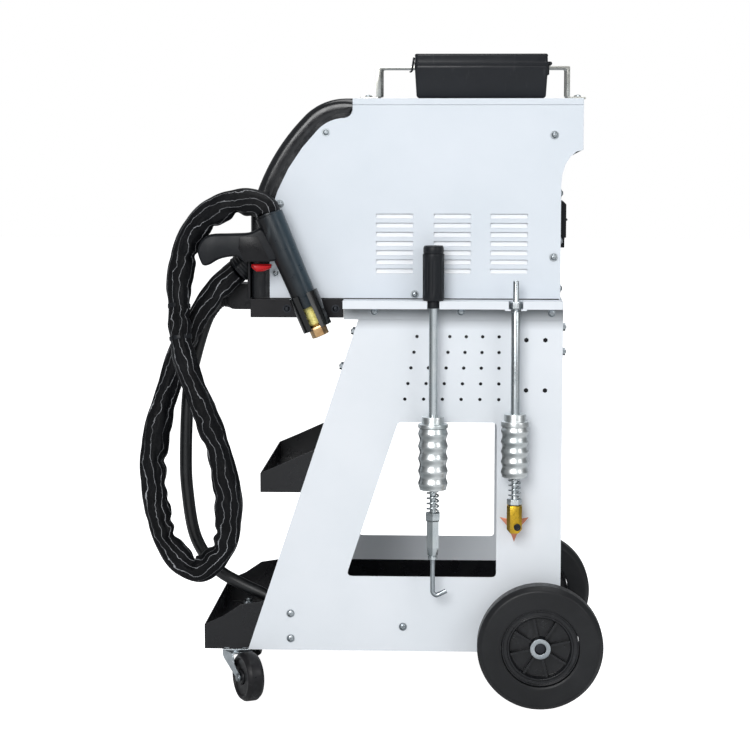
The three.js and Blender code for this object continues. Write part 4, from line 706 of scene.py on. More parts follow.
def screw_pattern():
    """A domed head on a washer, with a crossed drive standing on it."""
    p = Pattern("screw_heads", "Head Radius", "Head Height", "Washer Radius", "Washer Height", "Drive Width")
    washer_height, head_height, head_radius = p["Washer Height"], p["Head Height"], p["Head Radius"]
    washer = p.shape("Cylinder", Vertices=20, Radius=p["Washer Radius"], Depth=washer_height)
    washer = p.moved(washer, p.vector(z=p.product(washer_height, 0.5)))
    dome = p.shape("UVSphere", Segments=18, Rings=8, Radius=head_radius)
    squash = p.vector(1.0, 1.0, p.maths("DIVIDE", head_height, head_radius))
    dome = p.moved(dome, p.vector(z=washer_height), scale=squash)
    depth = p.product(head_height, 0.24)
    bar = p.shape("Cube", Size=p.vector(p.product(head_radius, 1.15), p["Drive Width"], depth))
    top = p.maths("ADD", washer_height, head_height)
    lift = p.vector(z=p.maths("SUBTRACT", top, p.product(depth, 0.35)))
    cross = p.merged(p.moved(bar, lift), p.moved(bar, lift, rotation=(0, 0, math.pi / 2)))
    return p.finish(p.facing_copies(p.merged(washer, dome, cross)))


def nut_pattern():
    """A hexagon head or nut on a washer, with the bolt's end showing."""
    p = Pattern("hexagon_nuts", "Across", "Height", "Washer Radius", "Bolt Radius")
    washer = p.shape("Cylinder", Vertices=24, Radius=p["Washer Radius"], Depth=0.001)
    nut = p.shape("Cylinder", Vertices=6, Radius=p["Across"], Depth=p["Height"])
    nut = p.moved(nut, p.vector(z=p.product(p["Height"], 0.5)))
    dome = p.shape("UVSphere", Segments=16, Rings=8, Radius=p["Bolt Radius"])
    dome = p.moved(dome, p.vector(z=p["Height"]), scale=(1, 1, 0.6))
    return p.finish(p.facing_copies(p.merged(washer, nut, dome)))


def spoke_pattern():
    """Flat ribs that stand round an axis, from one radius to another."""
    p = Pattern("ribs_round_an_axis", "Inner Radius", "Outer Radius", "Thickness", "Depth",
                Count="Int", Turn="Float")
    inner, outer = p["Inner Radius"], p["Outer Radius"]
    rib = p.shape("Cube", Size=p.vector(p.maths("SUBTRACT", outer, inner), p["Thickness"], p["Depth"]))
    rib = p.moved(rib, p.vector(x=p.product(p.maths("ADD", outer, inner), 0.5)))
    line = p.shape("Line", Count=p["Count"], Offset=(0, 0, 0))
    index = p.node("GeometryNodeInputIndex").outputs[0]
    angle = p.maths("ADD", p["Turn"], p.product(index, p.maths("DIVIDE", TURN, p["Count"])))
    return p.finish(p.facing_copies(p.copies(line, rib, Rotation=p.vector(z=angle))))


def louvre_pattern():
    """A column of pressed blades, each leaning in from the foot of its slot."""
    p = Pattern("pressed_louvres", "Pitch", "Length", "Height", "Depth", "Sheet", Rows="Int")
    height, depth = p["Height"], p["Depth"]
    run = p.maths("SQRT", p.maths("ADD", p.product(height, height), p.product(depth, depth)))
    blade = p.shape("Cube", Size=p.vector(p["Length"], p["Sheet"], run))
    lean = p.product(p.maths("ARCTAN2", depth, height), -1.0)
    line = p.shape("Line", Count=p["Rows"], Offset=p.vector(z=p.product(p["Pitch"], -1.0)))
    column = p.copies(line, p.moved(blade, rotation=p.vector(x=lean)))
    return p.finish(p.copies(p["Geometry"], column))


def grown(name, pattern, lengths, points, facings, material=ZINC, body="trolley", **others):
    """Runs a pattern over points, which face one way or each its own, and keeps it as one plain mesh."""
    ways = [facings] * len(points) if isinstance(facings, Vector) else facings
    host_mesh = bpy.data.meshes.new("places")
    host_mesh.from_pydata([tuple(p) for p in points], [], [])
    layer = host_mesh.attributes.new("facing", "FLOAT_VECTOR", "POINT")
    layer.data.foreach_set("vector", [c for way in ways for c in way])
    host = linked("places", host_mesh)
    modifier = host.modifiers.new("pattern", "NODES")
    modifier.node_group = pattern.tree
    values = {label: length * MM for label, length in zip(pattern.lengths, lengths)}
    for label, value in {**values, **others, "Finish": material}.items():
        modifier[pattern.keys[label]] = value
    depsgraph = bpy.context.evaluated_depsgraph_get()
    mesh = bpy.data.meshes.new_from_object(host.evaluated_get(depsgraph))
    bpy.data.objects.remove(host)
    return finished(name, mesh, material, body)


SCREWS, NUTS, SPOKES, LOUVRES = screw_pattern(), nut_pattern(), spoke_pattern(), louvre_pattern()

# Radius and height of the head, radius and height of the washer, and width of the drive
SMALL_SCREW = (4.6, 2.6, 6.6, 1, 1.1)
HANDLE_SCREW = (5.2, 3, 6.6, 1, 1.1)
BOLT_HEAD = (5.8, 2.6, 6.6, 0.8, 1.2)

# Cords come first, because their room is tested against the camera's view

GUN_LEAN, COLLAR_LEAN = math.radians(23.2), math.radians(40)
GUN_TAIL_PLACE = (-428, -211, 782)
GUN_TAIL, GUN_AXIS = at(*GUN_TAIL_PLACE), Vector((math.sin(GUN_LEAN), 0, -math.cos(GUN_LEAN)))
COLLAR_ROOT, COLLAR_AXIS = at(-463.8, -150, 708), Vector((-math.cos(COLLAR_LEAN), 0, -math.sin(COLLAR_LEAN)))
TAIL_REACH, COLLAR_REACH, SLEEVE_LEAD = 4.3, 26.3, 7.8
SLEEVE_DIAMETER = 39
SLEEVE_ROUTE = [
    (-453, -210, 802), (-479, -208, 801), (-510, -203, 790), (-536, -197, 771), (-558, -189, 738),
    (-572, -186, 686), (-573, -191, 639), (-570, -204, 594), (-559, -211, 541), (-536, -213, 483),
    (-515, -212, 427), (-500, -208, 366), (-495, -205, 306), (-506, -199, 251), (-547, -192, 215),
    (-590, -184, 244), (-612, -179, 305), (-620, -176, 372), (-613, -171, 437), (-597, -167, 497),
    (-576, -163, 560), (-550, -160, 613), (-521, -158, 655)]


def sleeve_path():
    start = GUN_TAIL - GUN_AXIS * TAIL_REACH * MM
    end = COLLAR_ROOT + COLLAR_AXIS * COLLAR_REACH * MM
    points = [start, start - GUN_AXIS * SLEEVE_LEAD * MM] + [at(*p) for p in SLEEVE_ROUTE]
    return curve_through([end, end + COLLAR_AXIS * SLEEVE_LEAD * MM] + points[::-1], 3)


def sleeve_radius(total):
    """Loose cloth: folds that wander round it, kinks inside each bend, pinched and full stretches."""
    dice = np.random.default_rng(7)
    folds = [(n, dice.uniform(0, 6.28), dice.uniform(6, 20), dice.uniform(0.5, 1.1))
             for n in (2, 3, 3, 4, 5, 7)]
    slow = [(dice.uniform(14, 70), dice.uniform(0, 6.28)) for _ in range(5)]
    kinks = []
    place = 0.05
    while place < total - 0.05:
        kinks.append((place, dice.uniform(2.5, 8.5), dice.uniform(0.006, 0.013), dice.uniform(-1.1, 1.1)))
        place += dice.uniform(0.026, 0.062)
    flat_way = dice.uniform(0, 3.14)

    def radius(run, angle, bend):
        ease = min(run / 0.04, (total - run) / 0.04, 1)
        pinch = min(min(abs(run - place) / 0.03, 1) for place in SLEEVE_PINCHES)
        ripple = 0.0
        for n, phase, drift, size in folds:
            wave = math.sin(n * angle + phase + drift * run + 0.9 * math.sin(17 * run + phase))
            ripple += size * (1 - 1.6 * abs(wave) ** 1.6)
        swell = sum(math.sin(rate * run + phase) for rate, phase in slow) * 0.42
        flatness = 1.1 * math.cos(2 * (angle - flat_way - 5 * run))
        inside = clipped(bend / 6) ** 0.7
        crease = 0.0
        for place, depth, width, slant in kinks:
            away = (run - place - slant * 0.01 * math.sin(angle)) / width
            if abs(away) < 3:
                crease -= depth * math.exp(-away * away) * (0.12 + 0.88 * inside)
        puff = 1.6 * inside
        gathered = -3.4 * (1 - pinch * pinch * (3 - 2 * pinch))
        return SLEEVE_DIAMETER / 2 + ease * (0.5 * ripple + swell + flatness + crease + puff + gathered)
    return radius


gun_lead = sleeve_path()
gun_lead_length = length_of(gun_lead)


def lead_point(height):
    """The point at which the lead's second half passes a height."""
    second_half = range(int(len(gun_lead) * 0.55), len(gun_lead))
    return min(second_half, key=lambda i: abs(gun_lead[i].z - height * MM))


TIES = {"upper_sleeve_tie": lead_point(636), "lower_sleeve_tie": lead_point(589)}
SLEEVE_PINCHES = [length_of(gun_lead[:place + 1]) for place in TIES.values()]
sleeve_mesh = swept(gun_lead, sleeve_radius(gun_lead_length), 56, uv="sleeve")
gun_sleeve = finished("gun_cable_sleeve", sleeve_mesh, SLEEVE, sharp=180, nodes=["gun_cable"])


def sleeve_tie(name, place):
    """A band that gathers the sleeve."""
    ahead = (gun_lead[place + 1] - gun_lead[place - 1]).normalized()
    band = lathe([(15, -3.5), (18, -3.5), (18, 3.5), (15, 3.5)], 1.2, gun_lead[place], ahead, 40)
    return finished(name, band, GRIP_RUBBER)


ties = [sleeve_tie(name, place) for name, place in TIES.items()]

EARTH_DIAMETER = 20
EARTH_EXIT = (-503.6, -101, 643)
EARTH_ROUTE = [
    (-526, -103, 634), (-541, -112, 604), (-556, -124, 552), (-567, -135, 495), (-572, -136, 399),
    (-570, -137, 333), (-557, -138, 257), (-524, -138, 206), (-482, -139, 180), (-438, -143, 160),
    (-398, -149, 134), (-358, -153, 116)]
TRAY_FLOOR = 82
COIL_X, COIL_Y = -285, -40
COIL_PITCH = 20.8
COIL_LOW = TRAY_FLOOR + 0.3 + EARTH_DIAMETER / 2
COIL_INNER = 92 - COIL_PITCH
COIL_TURNS, TURN_POINTS = 4.5, 40


def coil_points():
    """Two turns inwards on the upper layer, a half turn down, and two turns outwards on the tray's floor."""
    points = []
    for i in range(int(COIL_TURNS * TURN_POINTS) + 1):
        turn = i / TURN_POINTS
        angle = -math.pi / 2 + turn * TURN
        radius = COIL_INNER - 0.25 * COIL_PITCH + abs(turn - COIL_TURNS / 2) * COIL_PITCH
        fall = clipped((turn - 2) / 0.5)
        fall = fall * fall * (3 - 2 * fall)
        points.append(at(COIL_X + radius * math.cos(angle), COIL_Y + radius * math.sin(angle),
                         COIL_LOW + COIL_PITCH * (1 - fall)))
    return points


def level(vector):
    return Vector((vector.x, vector.y, 0)).normalized()


def earth_path():
    coil = coil_points()
    back, on = level(coil[0] - coil[1]), level(coil[-1] - coil[-2])
    coil_start = coil[0] + back * 17 * MM
    start = at(*EARTH_EXIT)
    free = [start, start - REAR * 10 * MM] + [at(*p) for p in EARTH_ROUTE]
    free += [coil_start + back * 20 * MM, coil_start]
    return curve_through(free, 4) + coil + [coil[-1] + on * reach * MM for reach in (20, 40, 60)]


earth_lead = earth_path()
clamp_seat = earth_lead[-1]
clamp_way = level(earth_lead[-1] - earth_lead[-2])
clamp_across = Vector((-clamp_way.y, clamp_way.x, 0))
earth_mesh = swept(earth_lead, EARTH_DIAMETER / 2, 28, uv="lead")
earth_cable = finished("earth_cable_whole", earth_mesh, CABLE, sharp=180,
                       nodes=["earth_cable", "earth_cable_coil"])

JAW_OUTLINE = [
    (16, 3), (40, 7), (62, 10), (80, 7), (98, 4.2), (100, 5.4), (102, 4.2), (104, 5.4), (107, 6), (107, 12),
    (88, 16), (60, 20), (38, 21.5), (20, 14), (10, 8)]


def clamp_jaw(side):
    """One pressed jaw with a toothed mouth and a finger tab, lying on its side."""
    rim = filleted([(a, side * b) for a, b in JAW_OUTLINE], 2.5, 2, closed=True)
    foot = clamp_seat.copy()
    foot.z = (TRAY_FLOOR + 0.3) * MM
    place = own_axes(foot, clamp_way, clamp_across, UP)
    return prism(*[[place(p.x, p.y, z) for p in rim] for z in (2.5, 19.5)], 0.8)


def earth_clamp():
    pivot_place = clamp_seat + clamp_way * 46 * MM
    pivot_place.z = (TRAY_FLOOR + 0.4) * MM
    pivot = lathe([(0, 0), (5.5, 0), (5.5, 21.4), (0, 21.4)], 1, pivot_place, UP, 24)
    lug = lathe([(0, 0), (8.6, 0), (8.6, 14), (4.5, 18), (4.5, 24), (0, 24)], 1.2, clamp_seat, clamp_way, 28)
    spring = turned(wire_ring(6.2, 5, 0.9, 0.9, 8), pivot_place, UP, 24)
    whole = joined(clamp_jaw(1), clamp_jaw(-1), pivot, lug, spring)
    return finished("earth_clamp_jaws", whole, ZINC, nodes=["earth_clamp"])


clamp_piece = earth_clamp()

# Trolley

for node, roll, material in (
        ("near_side_panel", 0.6, PANEL_PAINT), ("far_side_panel", 0.6, PANEL_PAINT),
        ("deck", 0.5, PANEL_PAINT), ("front_cross_panel", 0.6, PALE), ("rear_cross_panel", 0.6, PALE),
        ("upper_tray", 0.5, TRAY_PAINT), ("lower_tray", 0.5, TRAY_PAINT)):
    rolled(node, roll, material)

SIDE_FACE, WEB_FACE, LIP_FACE = 175, 177.3, 181.1

for name, side in SIDES:
    # A black sheet behind the perforations stands for the shade inside the trolley, so the holes show dark:
    # painted shade
    shade_sheet = block(-225, 12, on_side(side, 171.5, 172.3), 480, 600, 0.2)
    finished(name + "_hole_shade_sheet", shade_sheet, BLACK_PAINT)
    # A black strip at each cover's foot stands for the shade in the recessed gap there: painted shade
    seam = block(-452, 26, on_side(side, SIDE_FACE - 0.8, SIDE_FACE + 0.4), 648.1, 649.7, 0.2)
    finished(name + "_foot_seam", seam, BLACK_PAINT)


def both_sides(places, y):
    points = [at(x, side * y, z) for _, side in SIDES for x, z in places]
    return points, [NEAR] * len(places) + [FAR] * len(places)


panel_bolts, panel_ways = both_sides([(-400, 140), (-400, 99), (-219, 120)], SIDE_FACE)
web_bolts, web_ways = both_sides([(-265, 629), (-128, 629), (15, 627)], WEB_FACE)
grown("panel_bolts", SCREWS, BOLT_HEAD, panel_bolts + web_bolts, panel_ways + web_ways)
grown("arm_screws", SCREWS, SMALL_SCREW, [at(x, -LIP_FACE, 633) for x in (-403, -326)], NEAR, DARK_STEEL)

FRONT_LEAN = Vector((-3, 0, 1)).normalized()
flange_points, flange_ways = [], []
for y in (-162, 162):
    flange_points += [at(-469 + (z - 80) / 3, y, z) for z in (596, 540)] + [at(33, y, z) for z in (604, 565)]
    flange_ways += [FRONT_LEAN] * 2 + [REAR] * 2
grown("flange_bolts", NUTS, (6.2, 4.2, 7.8, 3), flange_points, flange_ways)

CASTER_X, CASTER_Y = -489, 150
tray_points = [at(CASTER_X + 15 * way, side * CASTER_Y + 15 * other, TRAY_FLOOR)
               for side in (-1, 1) for way in (-1, 1) for other in (-1, 1)]
grown("caster_nuts", NUTS, (6.4, 5, 8.5, 3.4), tray_points, UP)

# Rear wheels and axle

AXLE_HEIGHT, WHEEL_Y, HUB_Y = 100, 213, 234
RIB_TURN = math.radians(12.8)
TYRE_PROFILE = mirrored([(62.2, -20.8), (65, -22), (93, -22), (100, -14)])
RIM_PROFILE = mirrored([
    (48, -4.5), (48, -14), (50, -17), (52, -17), (53, -15.4), (58, -15.4), (59, -17), (61.4, -17)])
HUB_PROFILE = mirrored([(17.5, 4.5), (16.5, 21), (9, 21)])
BUSH_PROFILE = [(9.2, -1), (16.2, -1), (16.2, 1.2), (9.2, 1.2)]


def rear_wheel(name, side):
    body = name + "_wheel"
    centre = at(0, side * WHEEL_Y, AXLE_HEIGHT)
    dressed(name + "_tyre", turned(filleted(TYRE_PROFILE, 6, 6), centre, FAR, 96), TYRE, body, 50)
    dressed(name + "_rim", lathe(RIM_PROFILE + HUB_PROFILE, 0.8, centre, FAR, 96, 2), RIM, body, 40)
    grown(name + "_rim_ribs", SPOKES, (16.5, 48.5, 3.6, 28), [centre], NEAR, RIM, body,
          Count=8, Turn=RIB_TURN)
    bush = lathe(BUSH_PROFILE, 0.5, at(0, side * HUB_Y, AXLE_HEIGHT), FAR, 48, 2)
    finished(name + "_rim_bush", bush, ZINC, body)


for name, side in SIDES:
    rear_wheel(name, side)
axle_profile = mirrored([(0, -232), (8.5, -232), (8.5, -190.6), (14, -190.6), (14, -175.4), (8.5, -175.4)])
dressed("rear_axle", lathe(axle_profile, 0.9, at(0, 0, AXLE_HEIGHT), FAR, 32, 2), DARK_STEEL)

# Casters

for name, side in SIDES:
    rolled(name + "_caster_plate", 0.5, ZINC)

CASTER_TRAIL, CASTER_RADIUS, CASTER_HALF = 46, 39.5, 14
FORK_OUTER, FORK_INNER = 18, 15.5
FORK_OUTLINE = [
    (-21, 73.8), (21, 73.8), (24, 68), (27, 58), (52.6, 43), (53, 38), (51, 33.6), (46, 32.4), (41, 33.6),
    (38, 37), (-14, 57), (-21, 62)]
TREAD_PROFILE = mirrored([(11, -11.5), (29, -10.5), (31, -14), (35, -14), (39.5, -8)])
CASTER_HUB_PROFILE = mirrored([(4.4, -CASTER_HALF), (10, -CASTER_HALF), (11.2, -CASTER_HALF + 2)])


def caster(name, side, degrees):
    """A wheel and its pressed fork: a bridge under the swivel race, and two legs that taper to the axle."""
    lean = math.radians(degrees)
    trail = Vector((math.cos(lean), math.sin(lean), 0))
    across = Vector((-trail.y, trail.x, 0))
    root = at(CASTER_X, side * CASTER_Y, 0)
    place = own_axes(root, trail, across, UP)
    centre = root + trail * CASTER_TRAIL * MM + UP * CASTER_RADIUS * MM
    rim = filleted(FORK_OUTLINE, 3, 3, closed=True)
    legs = [prism(*[[place(p.x, y, p.y) for p in rim] for y in (low, low + FORK_OUTER - FORK_INNER)], 0.7)
            for low in (-FORK_OUTER, FORK_INNER)]
    corners = [(-21, -FORK_OUTER), (21, -FORK_OUTER), (21, FORK_OUTER), (-21, FORK_OUTER)]
    bridge = prism(*[[place(a, b, z) for a, b in corners] for z in (71, 73.8)], 0.8)
    race = lathe([(0, 70), (20, 70), (20, 73.6), (17, 73.85), (0, 73.85)], 0.8, root, UP, 40, 2)
    pin = turned([(0, -FORK_OUTER), (4, -FORK_OUTER), (4, FORK_OUTER), (0, FORK_OUTER)], centre, across, 20)
    fork = joined(*legs, bridge, race, pin)
    settled(dressed(name + "_caster_fork", fork, FORK_ZINC, name + "_caster", 30))
    roller = name + "_caster_roller"
    tread = lathe(TREAD_PROFILE, 4, centre, across, 64, 5)
    dressed(name + "_caster_wheel", tread, CASTER_RUBBER, roller, 50)
    hub = lathe(CASTER_HUB_PROFILE, 0.6, centre, across, 32, 2)
    finished(name + "_caster_hub", hub, BLACK_PLASTIC, roller)
    caps = [lathe([(0, -0.4), (6.6, -0.4), (6.6, 1.6), (5.2, 2.5), (0, 2.5)], 0.6,
                  centre + across * way * FORK_OUTER * MM, across * way, 24, 2) for way in (-1, 1)]
    finished(name + "_caster_axle_heads", joined(*caps), ZINC, name + "_caster")


caster("near", -1, -62)
caster("far", 1, -90)

# Cabinet

CABINET_FRONT, CABINET_FOOT, CABINET_TOP = -461, 648.5, 963
LOW_BEND, MAIN_BEND, TOP_BEND = 60, 325, 91.5
LOW_DEGREES, MAIN_DEGREES, TOP_DEGREES = 15, 45, 90
LOW_CENTRE = (CABINET_FRONT + LOW_BEND, 775)
MAIN_CENTRE = (LOW_CENTRE[0] + (MAIN_BEND - LOW_BEND) * math.cos(math.radians(LOW_DEGREES)),
               LOW_CENTRE[1] - (MAIN_BEND - LOW_BEND) * math.sin(math.radians(LOW_DEGREES)))
TOP_CENTRE = (MAIN_CENTRE[0] - (MAIN_BEND - TOP_BEND) * math.cos(math.radians(MAIN_DEGREES)),
              CABINET_TOP - TOP_BEND)
TOP_FRONT = TOP_CENTRE[0] + 10.8
FRONT_BENDS = ((LOW_CENTRE, LOW_BEND, 0, LOW_DEGREES), (MAIN_CENTRE, MAIN_BEND, LOW_DEGREES, MAIN_DEGREES),
               (TOP_CENTRE, TOP_BEND, MAIN_DEGREES, TOP_DEGREES))
BAR, BAR_END, BAR_Y, BAR_SOFTNESS = 30, 13, 160, 2.5
COVER_GAP = (172.5, 173.5)


def bar_drop(away):
    """How far a front bar reaches below its middle, by the share of its end's rounding that is passed."""
    return BAR / 2 - 12 * (1 - math.sqrt(max(1 - away * away, 0)))


def cabinet_cover(node, side):
    """A side cover, whose cut-out follows the rounded end of the front bar."""
    middle = CABINET_TOP - BAR / 2
    outline = [(TOP_FRONT + 0.5, middle - BAR / 2 - 0.5)]
    outline += [(TOP_FRONT - BAR_END * (1 - k / 8), middle - bar_drop(k / 8)) for k in range(9)]
    corner = plate(outline, on_side(side, SIDE_FACE - 1.2, SIDE_FACE - 0.2))
    settled(dressed(node, joined(pressed_sheet(node, 0.4), corner), PALE))


def front_curve(depth):
    """The cabinet's front edge from its foot to its top, set in by a depth, as pairs of X and Z."""
    points = [(CABINET_FRONT + depth, z) for z in (CABINET_FOOT, 690, 735)]
    for (x, z), bend, first, last in FRONT_BENDS:
        for lean in np.radians(np.linspace(first, last, 7)[:-1]):
            points.append((x - (bend - depth) * math.cos(lean), z + (bend - depth) * math.sin(lean)))
    return points + [(TOP_CENTRE[0], CABINET_TOP - depth), (TOP_FRONT, CABINET_TOP - depth)]


def bezel_bar(side):
    """A bar with soft corners that runs up the cabinet's edge and ends with its lower corner rounded off."""
    path = curve_through([at(x, side * BAR_Y, z) for x, z in front_curve(BAR / 2)], 4)
    total = length_of(path)

    def radius(run, angle, bend):
        away = max((run - total) / (BAR_END * MM) + 1, 0)
        tall = BAR / 2 - 1.5 * away * away if math.sin(angle) > 0 else bar_drop(away)
        wide_share, tall_share = abs(math.cos(angle)) / (BAR / 2), abs(math.sin(angle)) / tall
        return (wide_share ** BAR_SOFTNESS + tall_share ** BAR_SOFTNESS) ** (-1 / BAR_SOFTNESS)
    return swept(path, radius, 48)


def front_bezel():
    """Two soft bars joined by a slim frame, and a strip behind each cover that closes the gap beside it."""
    core = pressed_sheet("front_bezel", 0.8)
    for vertex in core.verts:
        if abs(vertex.co.y) > 0.17:
            vertex.co.y *= 163 / SIDE_FACE
    bars = [bezel_bar(side) for _, side in SIDES]
    strips = [plate(front_curve(22) + front_curve(38)[::-1], on_side(side, *COVER_GAP)) for _, side in SIDES]
    dressed("front_bezel", joined(core, *bars, *strips), BEZEL_PLASTIC, sharp=50)


for name, side in SIDES:
    cabinet_cover(name + "_cover", side)
rolled("rear_panel", 0.4, PALE)
rolled("cabinet_base", 0.4, PALE)
rolled("top_cover", 0.9, PALE, 3)
front_bezel()
rolled("control_panel", 0.5, GREY_PLASTIC)
rolled("cable_outlet", 1.2, BLACK_PLASTIC, 3)

for name, side in SIDES:
    grown(name + "_louvres", LOUVRES, (14.4, 57.8, 7.4, -4.2 * side, 1.2),
          [at(x, side * 172.2, 779) for x in (-233, -142, -53)], FAR * side, LIT_LOUVRE_PAINT, Rows=7)
cover_places = [(-341, 910), (-414, 798), (-421, 689), (-201, 656), (17, 906), (17, 715)]
grown("cover_screws", SCREWS, SMALL_SCREW, *both_sides(cover_places, SIDE_FACE))
grown("rear_screws", SCREWS, SMALL_SCREW, [at(28, y, z) for y in (-160, 160) for z in (665, 740, 815)], REAR)

for node, material in (("transformer_core", CORE), ("transformer_winding", WINDING)):
    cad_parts[node].data.materials.clear()
    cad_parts[node].data.materials.append(material)

# Control panel

PANEL_DEPTH = 14
BOX_CORNERS = ((-0.5, -0.5), (0.5, -0.5), (0.5, 0.5), (-0.5, 0.5))


def panel_seat(degrees, y):
    """A place on the sunk control panel's face, and the way it faces."""
    lean = math.radians(degrees)
    reach = MAIN_BEND - PANEL_DEPTH
    return (at(MAIN_CENTRE[0] - reach * math.cos(lean), y, MAIN_CENTRE[1] + reach * math.sin(lean)),
            Vector((-math.cos(lean), 0, math.sin(lean))))


def seated_box(seat, facing, right, up, wide, high, low, top, width):
    """A rounded block that stands on a leaning face."""
    place = own_axes(seat, FAR, facing.cross(FAR), facing)
    rings = [[place(right + a * wide, up + b * high, h) for a, b in BOX_CORNERS] for h in (low, top)]
    return prism(*rings, width)


def display_digits():
    """Three plain figures of seven bars each, all lit."""
    seat, way = panel_seat(38, 0)
    strokes = [(0, up, 8, 1.8) for up in (9, 0, -9)]
    strokes += [(x, up, 1.8, 7) for up in (4.5, -4.5) for x in (-5, 5)]
    bars = [seated_box(seat, way, middle + x, up, wide, high, 3.2, 3.5, 0.08)
            for middle in (-22, 0, 22) for x, up, wide, high in strokes]
    finished("display_digits", joined(*bars), SEGMENTS)


rolled("display_window", 0.8, SCREEN)
display_digits()
knob_seat, knob_way = panel_seat(21, 0)
KNOB_PROFILE = [(0, 0.7), (23, 0.7), (23, 3.4), (19.6, 4.6), (18.6, 15), (16.5, 17), (0, 17)]
dressed("selector_knob", lathe(KNOB_PROFILE, 1.2, knob_seat, knob_way, 64), BLACK_PLASTIC, "selector_knob")
grown("knob_grips", SPOKES, (17.5, 19.4, 1.8, 10), [knob_seat + knob_way * 9.8 * MM], knob_way, BLACK_PLASTIC,
      "selector_knob", Count=24)
pointer = seated_box(knob_seat, knob_way, 0, 9.5, 2.4, 15, 16.6, 17.6, 0.3)
finished("knob_pointer", pointer, LEGEND, "selector_knob")
grown("dial_marks", SPOKES, (26.2, 30.5, 1.1, 0.5), [knob_seat + knob_way * 0.2 * MM], knob_way, LEGEND,
      Count=12)

CAP_PROFILE = [(0, -9), (8, -9), (8, 3.6), (10, 3.6), (10, 7.6), (8.5, 8.6), (0, 8.1)]
for name, y, material in (("button_start", -22, RED_PLASTIC), ("button_mode", 22, LEGEND)):
    seat, way = panel_seat(29, y)
    dressed(name, lathe(CAP_PROFILE, 0.7, seat, way, 40, 2), material, name)
    ring = lathe([(10.8, -0.2), (13.2, -0.2), (13, 1.4), (11, 1.4)], 0.4, seat, way, 40, 2)
    finished(name + "_ring", ring, ZINC)

# Cable outlet, gland and breaker

collar_rings = [turned(wire_ring(20.6, reach, 1.2, 1.6, 12), COLLAR_ROOT, COLLAR_AXIS)
                for reach in (8, 13, 18, 23)]
finished("collar_rings", joined(*collar_rings), GRIP_RUBBER)
relief_path = curve_through([earth_lead[0] + REAR * 2 * MM] + earth_lead[:13:2], 1.2)
relief_length = length_of(relief_path)


def relief_radius(run, angle, bend):
    share = run / relief_length
    rib = 0.5 - 0.5 * math.cos(TURN * share * 7)
    return EARTH_DIAMETER / 2 + 0.5 + 5.2 * (1 - share) - 0.9 * rib * (1 - share * 0.5)


finished("earth_relief", swept(relief_path, relief_radius, 40), GRIP_RUBBER)

GLAND_X, GLAND_Z = -40, 700
GLAND_PROFILE = [
    (0, 0.3), (18, 0.3), (18, 4.3), (14, 4.3), (14, 11), (12.5, 12), (11.2, 20), (5, 20), (5, 6), (0, 6)]
dressed("mains_gland", lathe(GLAND_PROFILE, 0.8, at(GLAND_X, SIDE_FACE, GLAND_Z), FAR), BLACK_PLASTIC)
grown("gland_grips", SPOKES, (13.2, 14.6, 2, 6), [at(GLAND_X, SIDE_FACE + 7.6, GLAND_Z)], FAR, BLACK_PLASTIC,
      Count=18)
rolled("breaker_body", 0.7, BLACK_PLASTIC)
rolled("breaker_lever", 0.5, GREY_PLASTIC, body="breaker_lever")

# Handle

rolled("top_handle", 0.8, STAINLESS, 3)
HANDLE_OUTLINE = [(-268, 967.4), (-268, 1016.3), (46, 1016.3), (46, 967.4), (40.5, 967.4), (40.5, 1012.4),
                  (-260, 1012.4), (-260, 967.4)]
for name, y in (("near", -41.4), ("far", 60.2)):
    flange = plate(filleted(HANDLE_OUTLINE, 2.2, 2, closed=True), (y, y + 1.2), 0.3)
    finished("handle_flange_" + name, flange, STAINLESS)
handle_feet = [at(x, y, CABINET_TOP + 3.5) for x in (-282, 60) for y in (-20, 40)]
grown("handle_screws", SCREWS, HANDLE_SCREW, handle_feet, UP)

# Tool box

BOX_X, BOX_Y, BOX_CORNER = (-203, 7), (-160, -46), 7
BOX_FLOOR, BOX_RIM, LID_FOOT = 963.3, 1014.3, 1014.6


def box_ring(z, inset, radius=BOX_CORNER, steps=5):
    """The box's rounded outline at a height, set in by an amount."""
    r = max(radius - inset, 0.6)
    (x0, x1), (y0, y1) = [(low + inset + r, high - inset - r) for low, high in (BOX_X, BOX_Y)]
    ring = []
    for x, y, start in ((x1, y1, 0), (x0, y1, 90), (x0, y0, 180), (x1, y0, 270)):
        for k in range(steps + 1):
            angle = math.radians(start + 90 * k / steps)
            ring.append(at(x + r * math.cos(angle), y + r * math.sin(angle), z))
    return ring


body_outside = [(BOX_FLOOR, 8.6), (BOX_FLOOR + 0.5, 6.4), (BOX_FLOOR + 1.8, 4.6), (BOX_FLOOR + 4.2, 3.4),
                (BOX_RIM - 7, 0.9), (BOX_RIM - 6, 0.3), (BOX_RIM - 1, 0.1), (BOX_RIM, 0.6)]
body_inside = [
    (BOX_RIM, 2.2), (BOX_RIM - 1, 2.6), (BOX_FLOOR + 5, 5.2), (BOX_FLOOR + 3.2, 6.6), (BOX_FLOOR + 2.6, 9)]
body_rings = [box_ring(*ring) for ring in body_outside + body_inside]
dressed("toolbox_body", skinned(body_rings), BOX_PLASTIC, sharp=40)

lid_rows = [
    (13.5, 5.5), (13.2, 4.2), (0.5, 2.6), (0, 2.2), (0, 0.4), (0.6, 0), (4.4, 0), (5.2, 0.8), (13.4, 1.2),
    (14.6, 0.7), (16.4, 0.9), (17.5, 1.8), (18, 3), (18, 8), (16.6, 9.4), (16.6, 14)]
lid = skinned([box_ring(LID_FOOT + rise, inset, BOX_CORNER if inset < 6 else inset + 4)
               for rise, inset in lid_rows])
hinge = lathe([(0, -40), (3, -40), (3, 40), (0, 40)], 0.5, at(10.3, -103, LID_FOOT + 3), FAR, 20, 2)
leaf = block(4.5, 10.3, (-143, -63), LID_FOOT + 3.6, LID_FOOT + 6, 0.5)
dressed("toolbox_lid", joined(lid, hinge, leaf), BOX_PLASTIC, "toolbox_lid", 40)

